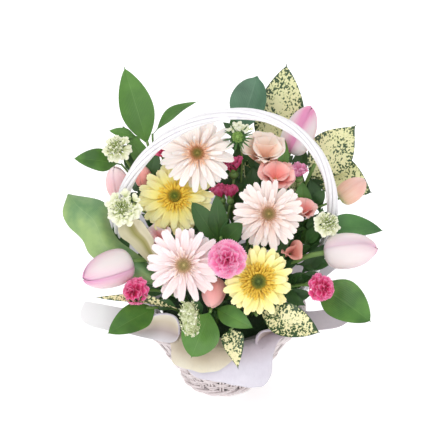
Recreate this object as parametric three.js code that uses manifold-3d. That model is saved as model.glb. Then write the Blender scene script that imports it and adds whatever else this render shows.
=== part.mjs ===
// A gift arrangement of cut flowers and leaves in a whitewashed willow basket with a hoop handle.
// Millimetres, +Z up. The origin is the centre of the basket's foot on the surface; the front is -Y.

import * as THREE from 'three';
import Module from 'manifold-3d';
import { mergeVertices } from 'three/addons/utils/BufferGeometryUtils.js';

const wasm = await Module();
wasm.setup();

const GAP = 0.35; // left between neighbours that touch on the real thing

// Basket
const FOOT_ROD = 3.6; // radius of the braided foot
const FOOT_RADIUS = 46;
const FOOT_HEIGHT = 10; // the wall stands upright to here, then flares
const RIM_RADIUS = 92;
const RIM_HEIGHT = 86;
const RIM_ROD = 4.2; // radius of the rolled border
const WALL = 5;
const STAKES = 24;
const WEAVE_ROWS = 7; // of close weave, up to WEAVE_TOP
const WEAVE_TOP = 57;
const BAND_TOP = 72.5; // the stakes stand free from the close weave to here
const WINDOW = 13.5; // width of the opening between two of them
const WEAVE_RELIEF = 1.5;

// Hoop handle, in the plane y = 0
const HANDLE_HALF_WIDTH = 114;
const HANDLE_WIDEST = 200;
const HANDLE_TOP = 327;
const HANDLE_LEAN = 18; // how far the top of the hoop stands to the right
const HANDLE_RADIUS = 6.6;
const HANDLE_STRANDS = 4;
const HANDLE_TWISTS = 5;

// Pot liner and floral foam
const LINER_RADIUS = 67;
const LINER_TOP = 90;
const LINER_WALL = 1.2;
const FOAM_TOP = 98;
const STEM_DEPTH = 22;

// The stems fan out of the foam: each enters it at this share of its head's distance from the middle
const FAN = new THREE.Vector3(3, 0, FOAM_TOP);
const FLOWER_SPREAD = 0.37;
const LEAF_SPREAD = 0.5;
const SPREAD_LIMIT = 53;

const PAPER_THICK = 0.8;
const PETAL_THICK = 1.2;
const LEAF_THICK = 1.4;

const at = (x, y, z) => new THREE.Vector3(x, y, z);
const rad = THREE.MathUtils.degToRad;
const { lerp } = THREE.MathUtils;
const finish = (color, roughness) => new THREE.MeshStandardMaterial({ color, roughness, metalness: 0 });

const WILLOW = finish('#eeecea', 0.7);
const LINER = finish('#3c4236', 0.5);
const FOAM = finish('#2f4a2c', 0.95);
const WHITE_PAPER = finish('#f3f3f8', 0.75);
const CREAM_PAPER = finish('#f1edd4', 0.75);
const STEM = finish('#6f8f45', 0.55);
const RUSCUS = finish('#3f6e2f', 0.35);
const SPECKLED = finish('#dcdc9a', 0.4);
const TULIP = finish('#f3e4ec', 0.5);
const TULIP_LEAF = finish('#84a873', 0.45);
const SALMON = finish('#ec9a93', 0.55);
const SCABIOSA = finish('#eef0d4', 0.6);

const arrangement = new THREE.Group();

function add(name, geometry, material, place = arrangement) {
  const mesh = new THREE.Mesh(geometry, material);
  mesh.name = name;
  place.add(mesh);
}

// Closed meshes to solids and back

function solid(geometry) {
  const bare = geometry.clone();
  bare.deleteAttribute('normal');
  bare.deleteAttribute('uv');
  const merged = mergeVertices(bare, 1e-4);
  const corners = merged.index.array;
  const triangles = [];
  for (let i = 0; i < corners.length; i += 3) {
    const [a, b, c] = corners.slice(i, i + 3);
    if (a !== b && b !== c && c !== a) triangles.push(a, b, c);
  }
  return new wasm.Manifold(new wasm.Mesh({
    numProp: 3,
    vertProperties: new Float32Array(merged.attributes.position.array),
    triVerts: Uint32Array.from(triangles),
  }));
}

function shape(body) {
  const mesh = body.getMesh();
  const geometry = new THREE.BufferGeometry();
  geometry.setAttribute('position', new THREE.BufferAttribute(mesh.vertProperties, 3));
  geometry.setIndex(new THREE.BufferAttribute(mesh.triVerts, 1));
  return geometry;
}

// Joins closed pieces and keeps the outer skin of the largest body, so that sealed hollows are filled.
function fuse(pieces) {
  const whole = pieces.map(solid).reduce((sum, piece) => sum.add(piece));
  return shape(whole.decompose().reduce((best, body) => (body.volume() > best.volume() ? body : best)));
}

// Thin sheets

// A thin closed sheet over a middle surface point(u, v), u -1..1 across and v 0..1 along. A sharp one is
// `thick` inside and comes to an edge all round; any other is `thick` throughout, with its rim cut square.
function sheet(point, { rows, columns, thick, sharp = true }) {
  const positions = [];
  const corner = (i, j, side) => {
    const u = 2 * j / columns - 1;
    const v = i / rows;
    const inside = i > 0 && i < rows && j > 0 && j < columns;
    if (sharp && !inside) return point(u, v);
    const across = point(u + 0.01, v).sub(point(u - 0.01, v));
    const along = point(u, v + 0.01).sub(point(u, v - 0.01));
    return point(u, v).addScaledVector(across.cross(along).normalize(), side * thick / 2);
  };
  const triangle = (...corners) => corners.forEach((p) => positions.push(p.x, p.y, p.z));
  const quad = (a, b, c, d) => {
    triangle(a, b, c);
    triangle(a, c, d);
  };
  for (let i = 0; i < rows; i += 1) {
    for (let j = 0; j < columns; j += 1) {
      const around = [[i, j], [i, j + 1], [i + 1, j + 1], [i + 1, j]];
      const face = (side) => around.map(([k, l]) => corner(k, l, side));
      quad(...face(1));
      const [a, b, c, d] = face(-1);
      triangle(a, c, b);
      triangle(a, d, c);
    }
  }
  if (!sharp) {
    const wall = (i, j, k, l) => quad(corner(i, j, -1), corner(k, l, -1), corner(k, l, 1), corner(i, j, 1));
    for (let j = 0; j < columns; j += 1) {
      wall(0, j, 0, j + 1);
      wall(rows, j + 1, rows, j);
    }
    for (let i = 0; i < rows; i += 1) {
      wall(i + 1, 0, i, 0);
      wall(i, columns, i + 1, columns);
    }
  }
  const geometry = new THREE.BufferGeometry();
  geometry.setAttribute('position', new THREE.Float32BufferAttribute(positions, 3));
  return geometry;
}

// A leaf from its foot to its tip: `width` across, its upper side towards `face`, `bow` the rise of its
// middle, `fold` how far its edges stand above its rib, `sway` how far it curves sideways. Its foot narrows
// to a stalk.
function leaf(foot, tip, { width, face = at(0, -0.7, 0.7), bow = 5, fold = 0.2, sway = 0, stalk = 0.12 }) {
  const along = tip.clone().sub(foot);
  const side = along.clone().cross(face).normalize();
  const up = side.clone().cross(along).normalize();
  const half = (v) => {
    const t = Math.max(0, (v - stalk) / (1 - stalk));
    return Math.max(width / 2 * Math.sin(Math.PI * t ** 0.85) ** 0.85 || 0, v > 0 && v < 1 ? 1 : 0);
  };
  return sheet((u, v) => foot.clone()
    .addScaledVector(along, v)
    .addScaledVector(side, u * half(v) + sway * Math.sin(Math.PI * v))
    .addScaledVector(up, bow * Math.sin(Math.PI * v) + fold * Math.abs(u) * half(v)),
  { rows: 5, columns: 2, thick: LEAF_THICK });
}

// Rods and stems

// A closed solid along the points; section(i) lists the corners of ring i as [across, up] offsets.
function sweep(points, section, first = at(0, 1, 0)) {
  const positions = [];
  const index = [];
  const put = (p) => positions.push(p.x, p.y, p.z) / 3 - 1;
  let across = first.clone();
  const rings = points.map((point, i) => {
    const before = points[Math.max(i - 1, 0)];
    const after = points[Math.min(i + 1, points.length - 1)];
    const ahead = after.clone().sub(before).normalize();
    across = across.addScaledVector(ahead, -across.dot(ahead)).normalize();
    const up = ahead.clone().cross(across);
    return section(i).map(([a, b]) => put(point.clone().addScaledVector(across, a).addScaledVector(up, b)));
  });
  const close = (ring, centre, ahead) => ring.forEach((corner, k) => {
    const next = ring[(k + 1) % ring.length];
    index.push(...(ahead ? [centre, corner, next] : [centre, next, corner]));
  });
  for (let i = 0; i + 1 < rings.length; i += 1) {
    rings[i].forEach((corner, k) => {
      const next = (k + 1) % rings[i].length;
      index.push(corner, rings[i][next], rings[i + 1][next]);
      index.push(corner, rings[i + 1][next], rings[i + 1][k]);
    });
  }
  close(rings[0], put(points[0]), false);
  close(rings[rings.length - 1], put(points[points.length - 1]), true);
  const geometry = new THREE.BufferGeometry();
  geometry.setAttribute('position', new THREE.Float32BufferAttribute(positions, 3));
  geometry.setIndex(index);
  return geometry;
}

function rod(points, radius, sides = 5) {
  const ring = Array.from({ length: sides }, (_, k) => {
    const angle = 2 * Math.PI * k / sides;
    return [radius * Math.cos(angle), radius * Math.sin(angle)];
  });
  return sweep(points, () => ring);
}

// A stem stands straight in its hole in the foam, then bends over to reach its head along `outward`.
const foamHoles = [];

function stemPath(head, outward, radius, options = {}) {
  const { spread = FLOWER_SPREAD, shift = [0, 0], steps = 6, reach = 0.4 } = options;
  const entry = head.clone().sub(FAN).setZ(0).multiplyScalar(spread).clampLength(0, SPREAD_LIMIT).add(FAN);
  entry.add(at(...shift, 0));
  const lean = head.clone().sub(entry).normalize().add(at(0, 0, 0.6)).normalize();
  const foot = entry.clone().addScaledVector(lean, -STEM_DEPTH);
  const mouth = entry.clone().addScaledVector(lean, 5);
  foamHoles.push(rod([foot.clone().addScaledVector(lean, -1), mouth], radius + GAP + 0.1));
  const length = head.distanceTo(mouth);
  const bend = new THREE.CubicBezierCurve3(
    mouth,
    mouth.clone().addScaledVector(lean, length * reach),
    head.clone().addScaledVector(outward, -length * reach),
    head,
  );
  return [foot, ...bend.getPoints(steps)];
}

// A bloom's own frame: its z looks out at `azimuth` (0 is the front, + to the right) and `elevation`.
function facing(head, azimuth, elevation) {
  const frame = new THREE.Group();
  frame.position.copy(head);
  frame.rotation.set(rad(90 - elevation), 0, rad(azimuth), 'ZXY');
  return frame;
}

// A frame at `foot` whose z runs to `tip`.
function pointing(foot, tip) {
  const frame = new THREE.Group();
  frame.position.copy(foot);
  frame.quaternion.setFromUnitVectors(at(0, 0, 1), tip.clone().sub(foot).normalize());
  return frame;
}

function placed(frame, geometry) {
  frame.updateMatrix();
  return geometry.applyMatrix4(frame.matrix);
}

function outwardOf(frame) {
  return at(0, 0, 1).applyQuaternion(frame.quaternion);
}

const turned = (points, sides) => (
  new THREE.LatheGeometry(points.map(([r, y]) => new THREE.Vector2(r, y)), sides).rotateX(Math.PI / 2));

// Basket

const wallAt = (z) => {
  const flare = (z - FOOT_HEIGHT) / (RIM_HEIGHT - FOOT_HEIGHT);
  return lerp(FOOT_RADIUS, RIM_RADIUS, Math.max(0, flare));
};

// The wall has a corner at each stake, where a row of weave passes outside it or inside it in turn.
function basketWall() {
  const bottom = 2 * FOOT_ROD + GAP;
  const heights = Array.from({ length: 2 * WEAVE_ROWS + 1 }, (_, i) => (
    lerp(bottom, WEAVE_TOP, i / (2 * WEAVE_ROWS))));
  heights.push(BAND_TOP, (BAND_TOP + RIM_HEIGHT) / 2, RIM_HEIGHT);
  const top = heights.length - 1;
  const outer = heights.map((z) => [wallAt(z), z]);
  const inside = FOOT_RADIUS - WALL;
  const inner = [[RIM_RADIUS - WALL, RIM_HEIGHT], [inside, FOOT_HEIGHT], [inside, bottom]];
  const wall = turned([...outer, ...inner, outer[0]], STAKES);
  const corners = wall.attributes.position;
  for (let k = 0; k < corners.count; k += 1) {
    const point = at(0, 0, 0).fromBufferAttribute(corners, k);
    const level = heights.findIndex((z) => Math.abs(z - point.z) < 0.01);
    const radius = Math.hypot(point.x, point.y);
    if (level > 0 && level < top && radius > wallAt(point.z) - 0.1) {
      const spoke = Math.round(Math.atan2(point.y, point.x) / (2 * Math.PI) * STAKES);
      const inRow = level < 2 * WEAVE_ROWS ? level % 2 === 1 : level === top - 1;
      const over = (spoke + Math.floor(level / 2)) % 2 === 0 ? 1 : -0.8;
      const push = WEAVE_RELIEF * (inRow ? over : -0.4);
      point.multiply(at(1 + push / radius, 1 + push / radius, 1));
      corners.setXYZ(k, point.x, point.y, point.z);
    }
  }
  const windows = Array.from({ length: STAKES }, (_, k) => (
    new THREE.BoxGeometry(40, WINDOW, BAND_TOP - WEAVE_TOP)
      .translate(wallAt((WEAVE_TOP + BAND_TOP) / 2), 0, (WEAVE_TOP + BAND_TOP) / 2)
      .rotateZ(2 * Math.PI * (k + 0.5) / STAKES)));
  return shape(windows.map(solid).reduce((rest, window) => rest.subtract(window), solid(wall)));
}

// A ring of twisted rods: its section swells and narrows as it goes round.
function ropeRing(radius, height, thick, lumps) {
  const ring = new THREE.TorusGeometry(radius, thick, 5, 2 * lumps);
  const corners = ring.attributes.position;
  for (let k = 0; k < corners.count; k += 1) {
    const point = at(0, 0, 0).fromBufferAttribute(corners, k);
    const spoke = Math.round(Math.atan2(point.y, point.x) / Math.PI * lumps);
    const centre = at(point.x, point.y, 0).setLength(radius);
    point.sub(centre).multiplyScalar(spoke % 2 === 0 ? 1 : 0.82).add(centre);
    corners.setXYZ(k, point.x, point.y, point.z + height);
  }
  return ring;
}

function basketHandle() {
  const leg = [[63.6, 61], [76.3, 86], [80, 97], [94, 124], [107, 158]];
  const left = leg.map(([x, z]) => at(-x, 0, z));
  const right = leg.map(([x, z]) => at(x, 0, z)).reverse();
  const arch = [];
  for (let angle = 180; angle >= 0; angle -= 20) {
    const x = HANDLE_HALF_WIDTH * Math.cos(rad(angle));
    arch.push(at(x, 0, HANDLE_WIDEST + (HANDLE_TOP - HANDLE_WIDEST) * Math.sin(rad(angle))));
  }
  const points = [...left, ...arch, ...right];
  for (const point of points) {
    point.x += HANDLE_LEAN * Math.max(0, (point.z - 100) / (HANDLE_TOP - 100)) ** 2;
  }
  const steps = 30;
  const corners = 2 * HANDLE_STRANDS;
  return sweep(new THREE.CatmullRomCurve3(points).getSpacedPoints(steps), (i) => (
    Array.from({ length: corners }, (_, k) => {
      const angle = 2 * Math.PI * (k / corners + HANDLE_TWISTS * i / steps);
      const radius = HANDLE_RADIUS * (k % 2 === 0 ? 1 : 0.76);
      return [radius * Math.cos(angle), radius * Math.sin(angle)];
    })
  ));
}

add('basket_base', turned([[0, 0], [39.6, 0], [39.6, 5], [0, 5]], STAKES), WILLOW);
add('basket_foot', ropeRing(FOOT_RADIUS - WALL / 2, FOOT_ROD, FOOT_ROD, STAKES / 2), WILLOW);
add('basket_wall', basketWall(), WILLOW);
add('basket_rim', ropeRing(RIM_RADIUS - WALL / 2, RIM_HEIGHT + RIM_ROD + GAP, RIM_ROD, STAKES / 2), WILLOW);
add('basket_handle', basketHandle(), WILLOW);

// The liner narrows with the wall and is open at the top
const linerOutside = [[38, 5.4], [43, 58], [LINER_RADIUS, LINER_TOP]];
const linerFloor = linerOutside[0][1] + LINER_WALL;
const linerInside = linerOutside.map(([r, z]) => [r - LINER_WALL, Math.max(z, linerFloor)]);
const linerProfile = [[0, linerOutside[0][1]], ...linerOutside, ...linerInside.reverse(), [0, linerFloor]];
add('pot_liner', turned(linerProfile, 20), LINER);

// Papers

// A skirt of paper part of the way round the basket. It comes up between liner and wall, passes over the rim
// and ends at its hem: `hem` lists [angle, radius, height], and `inside` the [radius, height] before it.
function skirt(hem, inside, columns) {
  const spline = (values) => {
    const points = values.map(([angle, r, z]) => at(angle, r, z));
    return new THREE.CatmullRomCurve3(points, false, 'centripetal');
  };
  const edge = spline(hem);
  return sheet((u, v) => {
    const last = edge.getPoint(Math.min(1, Math.max(0, (1 - u) / 2)));
    const profile = spline([...inside, [last.y, last.z]].map(([r, z]) => [0, r, z]));
    const here = profile.getPoint(Math.min(1, Math.max(0, v)));
    const angle = rad(last.x);
    return at(here.y * Math.cos(angle), here.y * Math.sin(angle), here.z);
  }, { rows: 4, columns, thick: PAPER_THICK, sharp: false });
}

const WHITE_INSIDE = [[75.6, 70], [77.4, 92], [86, 101], [97, 99]];
const CREAM_INSIDE = [[74.7, 76], [75.4, 95], [85, 107], [99, 104]];

const FRONT_HEM = [
  [-168, 150, 116], [-160, 160, 110], [-152, 140, 104], [-146, 114, 100], [-139, 102, 95], [-131, 99, 94],
  [-124, 100, 92], [-117, 110, 82], [-106, 110, 75], [-94, 109, 68], [-82, 110, 62], [-68, 112, 58],
  [-62, 110, 66], [-57, 103, 86], [-50, 100, 92], [-42, 100, 94], [-36, 110, 95], [-29, 126, 97],
  [-22, 142, 104], [-14, 160, 122],
];
const BACK_HEM = [
  [13, 166, 150], [24, 172, 160], [38, 150, 140], [54, 152, 152], [72, 138, 132], [90, 146, 150],
  [108, 136, 134], [126, 150, 150], [142, 142, 150], [156, 158, 186], [167, 146, 150],
];
const CREAM_HEM = [
  [-129, 101, 103], [-122, 110, 97], [-116, 116, 88], [-109, 113, 83], [-101, 112, 80], [-94, 111, 82],
  [-88, 108, 87], [-82, 104, 97],
];

add('paper_white_front', skirt(FRONT_HEM, WHITE_INSIDE, 20), WHITE_PAPER);
add('paper_white_back', skirt(BACK_HEM, WHITE_INSIDE, 15), WHITE_PAPER);
add('paper_cream', skirt(CREAM_HEM, CREAM_INSIDE, 10), CREAM_PAPER);

// Flower heads

// A head of thin petals in tiers, `count` to a tier, each tier a sheet cut into petals, all joined at a hub
// of radius `hub`. A tier rises on a cone of `lift` degrees from the hub at `height` to `radius`; its petals
// part at `notch` of the way. `outline` lists a petal's rim, left to right, as [share of the way out, share
// of its half angle]: every second point stands up by `ruffle`, and the rib sinks by `trough`.
function flowerHead(count, hub, tiers, crown = 0) {
  const positions = [];
  const triangle = (...corners) => corners.forEach((p) => positions.push(p.x, p.y, p.z));
  const ring = (k, turn, z) => {
    const angle = 2 * (k % count + turn) * Math.PI / count;
    return at(hub * Math.cos(angle), hub * Math.sin(angle), z);
  };
  const thickAt = (lift) => PETAL_THICK / 2 / Math.max(0.5, Math.cos(rad(lift)));
  tiers.forEach((tier, level) => {
    const { outline, radius, lift, height, notch = 0.15, rib = 0.65, ruffle = 0, trough = 0 } = tier;
    const turn = level % 2 / 2;
    const place = (petal, way, share, rise) => {
      const angle = (2 * (petal + turn) + share) * Math.PI / count;
      const uneven = way > rib ? 1 - 0.025 * ((petal * 7) % 3) : 1; // no two neighbours alike
      const reach = (radius - hub) * way * uneven;
      const out = hub + reach * Math.cos(rad(lift)) - rise * Math.sin(rad(lift));
      const up = height + reach * Math.sin(rad(lift)) + rise * Math.cos(rad(lift));
      return at(out * Math.cos(angle), out * Math.sin(angle), up);
    };
    for (let petal = 0; petal < count; petal += 1) {
      const rim = outline.map(([way, share], k) => place(petal, way, share, (k % 2 === 0 ? 1 : -1) * ruffle));
      const [left, right] = [-1, 1].map((share) => place(petal, notch, share, 0));
      for (const side of [1, -1]) {
        const z = height + side * thickAt(lift);
        const [foot, next] = [ring(petal, turn, z), ring(petal + 1, turn, z)];
        const middle = place(petal, rib, 0, side * PETAL_THICK / 2 - trough);
        const spokes = [foot, left, ...rim, right, foot];
        const faces = spokes.slice(1).map((corner, k) => [middle, spokes[k], corner]);
        faces.push([foot, right, next]);
        if (side > 0 && level === tiers.length - 1) faces.push([at(0, 0, z + crown), foot, next]);
        if (side < 0 && level === 0) faces.push([at(0, 0, z), foot, next]);
        faces.forEach((corners) => triangle(...(side > 0 ? corners : corners.reverse())));
      }
      if (level > 0) {
        const below = tiers[level - 1];
        const low = below.height + thickAt(below.lift);
        const high = height - thickAt(lift);
        const [a, b] = [petal, petal + 1].map((k) => ring(k, 0.5 - turn, low));
        const [c, d] = [petal, petal + 1].map((k) => ring(turn ? k : k - 1 + count, turn, high));
        triangle(a, b, turn ? c : d);
        triangle(...(turn ? [c, b, d] : [c, a, d]));
      }
    }
  });
  const geometry = new THREE.BufferGeometry();
  geometry.setAttribute('position', new THREE.Float32BufferAttribute(positions, 3));
  return geometry;
}

const STRAP = [[0.68, -0.8], [1, -0.32], [1, 0.32], [0.68, 0.8]];
const FRILLED = [[0.84, -0.94], [1, -0.5], [0.92, 0], [1, 0.5], [0.84, 0.94]];
const FLORET = [[0.7, -0.8], [1, -0.5], [1, 0.5], [0.7, 0.8]];
const WAVED = [[0.7, -0.85], [0.95, -0.45], [1, 0.1], [0.92, 0.55], [0.66, 0.85]];

// Gerberas

function gerbera(name, { head, azimuth, elevation, radius, petals, eye, shift }) {
  const bloom = facing(head, azimuth, elevation);
  arrangement.add(bloom);
  add(`${name}_petals`, fuse([flowerHead(14, 8, [
    { outline: STRAP, radius, lift: 1, height: 0, trough: 0.8 },
    { outline: STRAP, radius: 0.76 * radius, lift: 7, height: 1.6, trough: 0.8 },
  ])]), petals, bloom);
  const seat = 1.6 + 0.6 + GAP;
  const disc = turned([
    [0, seat], [7.4, seat], [6.8, seat + 1.8], [5, seat + 1.4], [3.6, seat + 2.8], [0, seat + 2.4],
  ], 8);
  add(`${name}_eye`, disc, eye, bloom);
  const cup = placed(bloom, turned([[0, -12], [2.8, -12], [4.5, -8], [9.5, -1.2 - GAP], [0, -1.2 - GAP]], 8));
  const back = head.clone().addScaledVector(outwardOf(bloom), -9);
  const path = stemPath(back, outwardOf(bloom), 2.4, { shift, steps: 5 });
  add(`${name}_stem`, fuse([rod(path, 2.4), cup]), STEM);
}

gerbera('gerbera_apricot', {
  head: at(-26, 20, 271), azimuth: 0, elevation: 32, radius: 39,
  petals: finish('#f8e4da', 0.6), eye: finish('#9a7a3c', 0.8),
});
gerbera('gerbera_yellow_left', {
  head: at(-50, 9, 224), azimuth: -8, elevation: 48, radius: 40,
  petals: finish('#f0dc7c', 0.6), eye: finish('#8a8a34', 0.8),
});
gerbera('gerbera_blush', {
  head: at(48, -28, 224), azimuth: 12, elevation: 36, radius: 38,
  petals: finish('#f7ddd6', 0.6), eye: finish('#a8945c', 0.8),
});
gerbera('gerbera_pink', {
  head: at(-39, -71, 189), azimuth: -6, elevation: 22, radius: 40,
  petals: finish('#f6dde4', 0.6), eye: finish('#c3ac70', 0.8),
});
gerbera('gerbera_yellow_front', {
  head: at(37, -85, 178), azimuth: 6, elevation: 24, radius: 36,
  petals: finish('#eed968', 0.6), eye: finish('#6f7d35', 0.8),
});

// Carnations

// A full head of frilled tiers, each steeper than the one below.
function pompon(radius, count, lifts) {
  return flowerHead(count, 0.16 * radius, lifts.map((lift, tier) => ({
    outline: FRILLED, radius: radius * (1 - 0.05 * tier), lift, height: 2.6 * tier, ruffle: 0.07 * radius,
  })));
}

function carnation(name, { head, azimuth, elevation, radius, count, lifts, color, shift }) {
  const bloom = facing(head, azimuth, elevation);
  arrangement.add(bloom);
  add(`${name}_petals`, fuse([pompon(radius, count, lifts)]), finish(color, 0.65), bloom);
  const depth = PETAL_THICK / 2 + GAP;
  const top = 0.16 * radius;
  const calyx = placed(bloom, turned([
    [0, -depth - 14], [1.8, -depth - 14], [0.8 * top + 1.5, -depth - 9], [top, -depth], [0, -depth],
  ], 8));
  const back = head.clone().addScaledVector(outwardOf(bloom), -depth - 12);
  const path = stemPath(back, outwardOf(bloom), 1.6, { shift, steps: 5 });
  add(`${name}_stem`, fuse([rod(path, 1.6), calyx]), STEM);
}

carnation('carnation_centre', {
  head: at(5, -88, 207), azimuth: 3, elevation: 28, radius: 20.5,
  count: 6, lifts: [2, 24, 45, 66], color: '#f27fb4',
});
carnation('carnation_left', {
  head: at(-87, -72, 157), azimuth: -30, elevation: 25, radius: 13.5, shift: [6, -8],
  count: 5, lifts: [12, 38, 62], color: '#e6397f',
});
carnation('carnation_right', {
  head: at(100, -72, 162), azimuth: 35, elevation: 20, radius: 13.5, shift: [-4, -6],
  count: 5, lifts: [12, 38, 62], color: '#e0407f',
});

// A bud: an egg with a tuft of petals standing out of its tip.
function bud(foot, tip, radius) {
  const frame = pointing(foot, tip);
  const length = foot.distanceTo(tip);
  const egg = turned([[0, 0], [radius, 0.35 * length], [0.6 * radius, 0.62 * length], [0, 0.62 * length]], 5);
  const tuft = flowerHead(3, 0.4 * radius, [
    { outline: FLORET, radius: 0.6 * length, lift: 60, height: 0.6 * length },
  ]);
  return [egg, tuft].map((piece) => placed(frame, piece));
}

// Joins a branch from a point on a stem to the foot of what it carries.
const branch = (from, to, radius = 1.3) => rod([from, to], radius, 4);

const centreBuds = stemPath(at(2, 16, 214), at(0, -0.2, 1), 1.6, { shift: [-3, 12] });
add('carnation_buds', fuse([
  rod(centreBuds, 1.6),
  ...bud(at(2, 16, 212), at(-5, 19, 234), 4.5),
  branch(centreBuds[5], at(9, 12, 214)),
  ...bud(at(9, 12, 213), at(9, 19, 234), 4.5),
  branch(centreBuds[4], at(13, 34, 234)),
  ...bud(at(13, 34, 233), at(12, 38, 258), 6),
  branch(centreBuds[3], at(-60, 44, 250)),
  ...bud(at(-60, 44, 249), at(-66, 42, 268), 4.5),
]), finish('#d83a78', 0.6));

const rightBud = at(82, 31, 232);
add('carnation_bud_right', fuse([
  rod(stemPath(rightBud, at(0, 0, 1), 1.5, { shift: [0, -9] }), 1.5),
  ...bud(rightBud.clone().add(at(0, 0, -1)), at(82, 27, 254), 6),
]), finish('#d86a9c', 0.6));

// Tulips

const TULIP_OUTLINE = [
  [0, 0], [0.3, 0.02], [0.8, 0.14], [1, 0.36], [0.93, 0.58], [0.7, 0.78], [0.36, 0.94], [0, 0.84],
];

// A closed tulip: an egg whose skin is raised into three outer and three inner petals with tips of their own.
function tulipBloom(length, radius) {
  const egg = turned(TULIP_OUTLINE.map(([r, v]) => [r * radius, v * length]), 12);
  const corners = egg.attributes.position;
  for (let k = 0; k < corners.count; k += 1) {
    const point = at(0, 0, 0).fromBufferAttribute(corners, k);
    const share = point.z / length;
    const angle = Math.atan2(point.y, point.x);
    const swell = 1 + 0.08 * Math.cos(3 * angle) * Math.min(1, 3 * share);
    const tip = share > 0.9 ? 0.06 * length * Math.cos(6 * angle) : 0;
    corners.setXYZ(k, point.x * swell, point.y * swell, point.z + tip);
  }
  return egg;
}

function tulip(name, { foot, tip, radius, shift, leaves = [] }) {
  const bloom = pointing(foot, tip);
  arrangement.add(bloom);
  add(`${name}_petals`, shape(solid(tulipBloom(foot.distanceTo(tip), radius))), TULIP, bloom);
  const outward = outwardOf(bloom);
  const back = foot.clone().addScaledVector(outward, -GAP);
  const path = stemPath(back, outward, 2.8, { shift });
  const blades = leaves.map(({ joint, tip: end, ...options }) => leaf(path[joint], end, options));
  add(`${name}_stem`, fuse([rod(path, 2.8), ...blades]), TULIP_LEAF);
}

tulip('tulip_left', {
  foot: at(-95, -48, 178), tip: at(-144, -74, 173), radius: 19.5,
  leaves: [{
    joint: 4, tip: at(-165, 15, 222), width: 52, face: at(-0.3, -0.75, 0.6),
    bow: 12, fold: 0.25, sway: -8, stalk: 0.05,
  }],
});
tulip('tulip_right', {
  foot: at(109, -36, 182), tip: at(162, -48, 195), radius: 19,
  leaves: [{
    joint: 3, tip: at(177, -2, 188), width: 22, face: at(0, -0.6, 0.8),
    bow: 10, fold: 0.3, stalk: 0.05,
  }],
});
tulip('tulip_back', { foot: at(73, 58, 252), tip: at(98, 79, 297), radius: 17, shift: [14, 12] });

// Scabiosas

function scabiosa(name, { head, azimuth, elevation, radius, shift, reach }) {
  const bloom = facing(head, azimuth, elevation);
  const florets = flowerHead(8, 0.3 * radius, [
    { outline: FRILLED, radius, lift: 6, height: 0, ruffle: 0.8 },
    { outline: FLORET, radius: 0.74 * radius, lift: 36, height: 2.2 },
  ], 0.14 * radius);
  const outward = outwardOf(bloom);
  const path = stemPath(head.clone().addScaledVector(outward, 0.3), outward, 1.3, { shift, reach, steps: 4 });
  add(name, fuse([rod(path, 1.3), placed(bloom, florets)]), SCABIOSA);
}

scabiosa('scabiosa_back_left', {
  head: at(-113, 54, 259), azimuth: -30, elevation: 45, radius: 18, reach: 0.22,
});
scabiosa('scabiosa_left', {
  head: at(-102, -25, 230), azimuth: -20, elevation: 38, radius: 22,
});
scabiosa('scabiosa_right', {
  head: at(110, -26, 211), azimuth: 22, elevation: 50, radius: 16, shift: [0, 5],
});

// A scabiosa bud, a green button with narrow bracts standing out all round it.
function starBud(name, { head, azimuth, elevation, radius }) {
  const bloom = facing(head, azimuth, elevation);
  const button = new THREE.SphereGeometry(0.4 * radius, 7, 5);
  const bracts = [[9, 5], [6, 38]].flatMap(([count, lift], tier) => Array.from({ length: count }, (_, k) => (
    new THREE.ConeGeometry(1.5, radius, 3).translate(0, radius / 2, 0)
      .rotateX(rad(lift)).rotateZ(2 * Math.PI * (k + 0.5 * tier) / count))));
  const outward = outwardOf(bloom);
  const path = stemPath(head.clone(), outward, 1.3);
  add(name, fuse([rod(path, 1.3), ...[button, ...bracts].map((piece) => placed(bloom, piece))]),
    finish('#7f9c4c', 0.6));
}

starBud('scabiosa_bud_star', { head: at(17, 21, 289), azimuth: -14, elevation: 40, radius: 15 });

// A drooping head of closed florets, set in a spiral over a slim core.
function droopingHead(name, foot, tip, radius) {
  const frame = pointing(foot, tip);
  const length = foot.distanceTo(tip);
  const core = new THREE.SphereGeometry(1, 7, 4).scale(0.75 * radius, 0.75 * radius, 0.5 * length)
    .translate(0, 0, length / 2);
  const count = 11;
  const florets = Array.from({ length: count }, (_, k) => {
    const share = (k + 0.5) / count;
    const angle = k * 2.4;
    const ring = 0.9 * radius * Math.sin(Math.PI * lerp(0.1, 0.96, share)) ** 0.6;
    return new THREE.OctahedronGeometry(0.3 * radius)
      .translate(ring * Math.cos(angle), ring * Math.sin(angle), length * lerp(0.05, 0.97, share));
  });
  const outward = at(0, -0.5, 0.8).normalize();
  const path = stemPath(foot.clone().lerp(tip, 0.08), outward, 1.4, { spread: LEAF_SPREAD });
  add(name, fuse([rod(path, 1.4), ...[core, ...florets].map((piece) => placed(frame, piece))]),
    finish('#c3cfa0', 0.7));
}

droopingHead('scabiosa_bud_drooping', at(-35, -106, 167), at(-31, -129, 139), 12);

// Salmon flowers of a few broad waved petals, several to a branched stem

function salmonFlower(foot, tip, { petals = 4, lift = 58 } = {}) {
  const frame = pointing(foot, tip);
  const length = foot.distanceTo(tip);
  return placed(frame, flowerHead(petals, 2.2, [
    { outline: WAVED, radius: length, lift, height: 0, ruffle: 0.06 * length },
  ]));
}

const backSalmon = stemPath(at(45, 40, 246), at(0, -0.3, 1), 1.8);
add('salmon_flowers_back', fuse([
  rod(backSalmon, 1.8),
  salmonFlower(at(45, 40, 244), at(44, 36, 276), { petals: 5 }),
  branch(backSalmon[5], at(57, 26, 236)),
  salmonFlower(at(57, 26, 235), at(60, 16, 256)),
  branch(backSalmon[4], at(128, 26, 214)),
  salmonFlower(at(127, 26, 213), at(154, 32, 232), { petals: 4, lift: 68 }),
]), SALMON);

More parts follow.
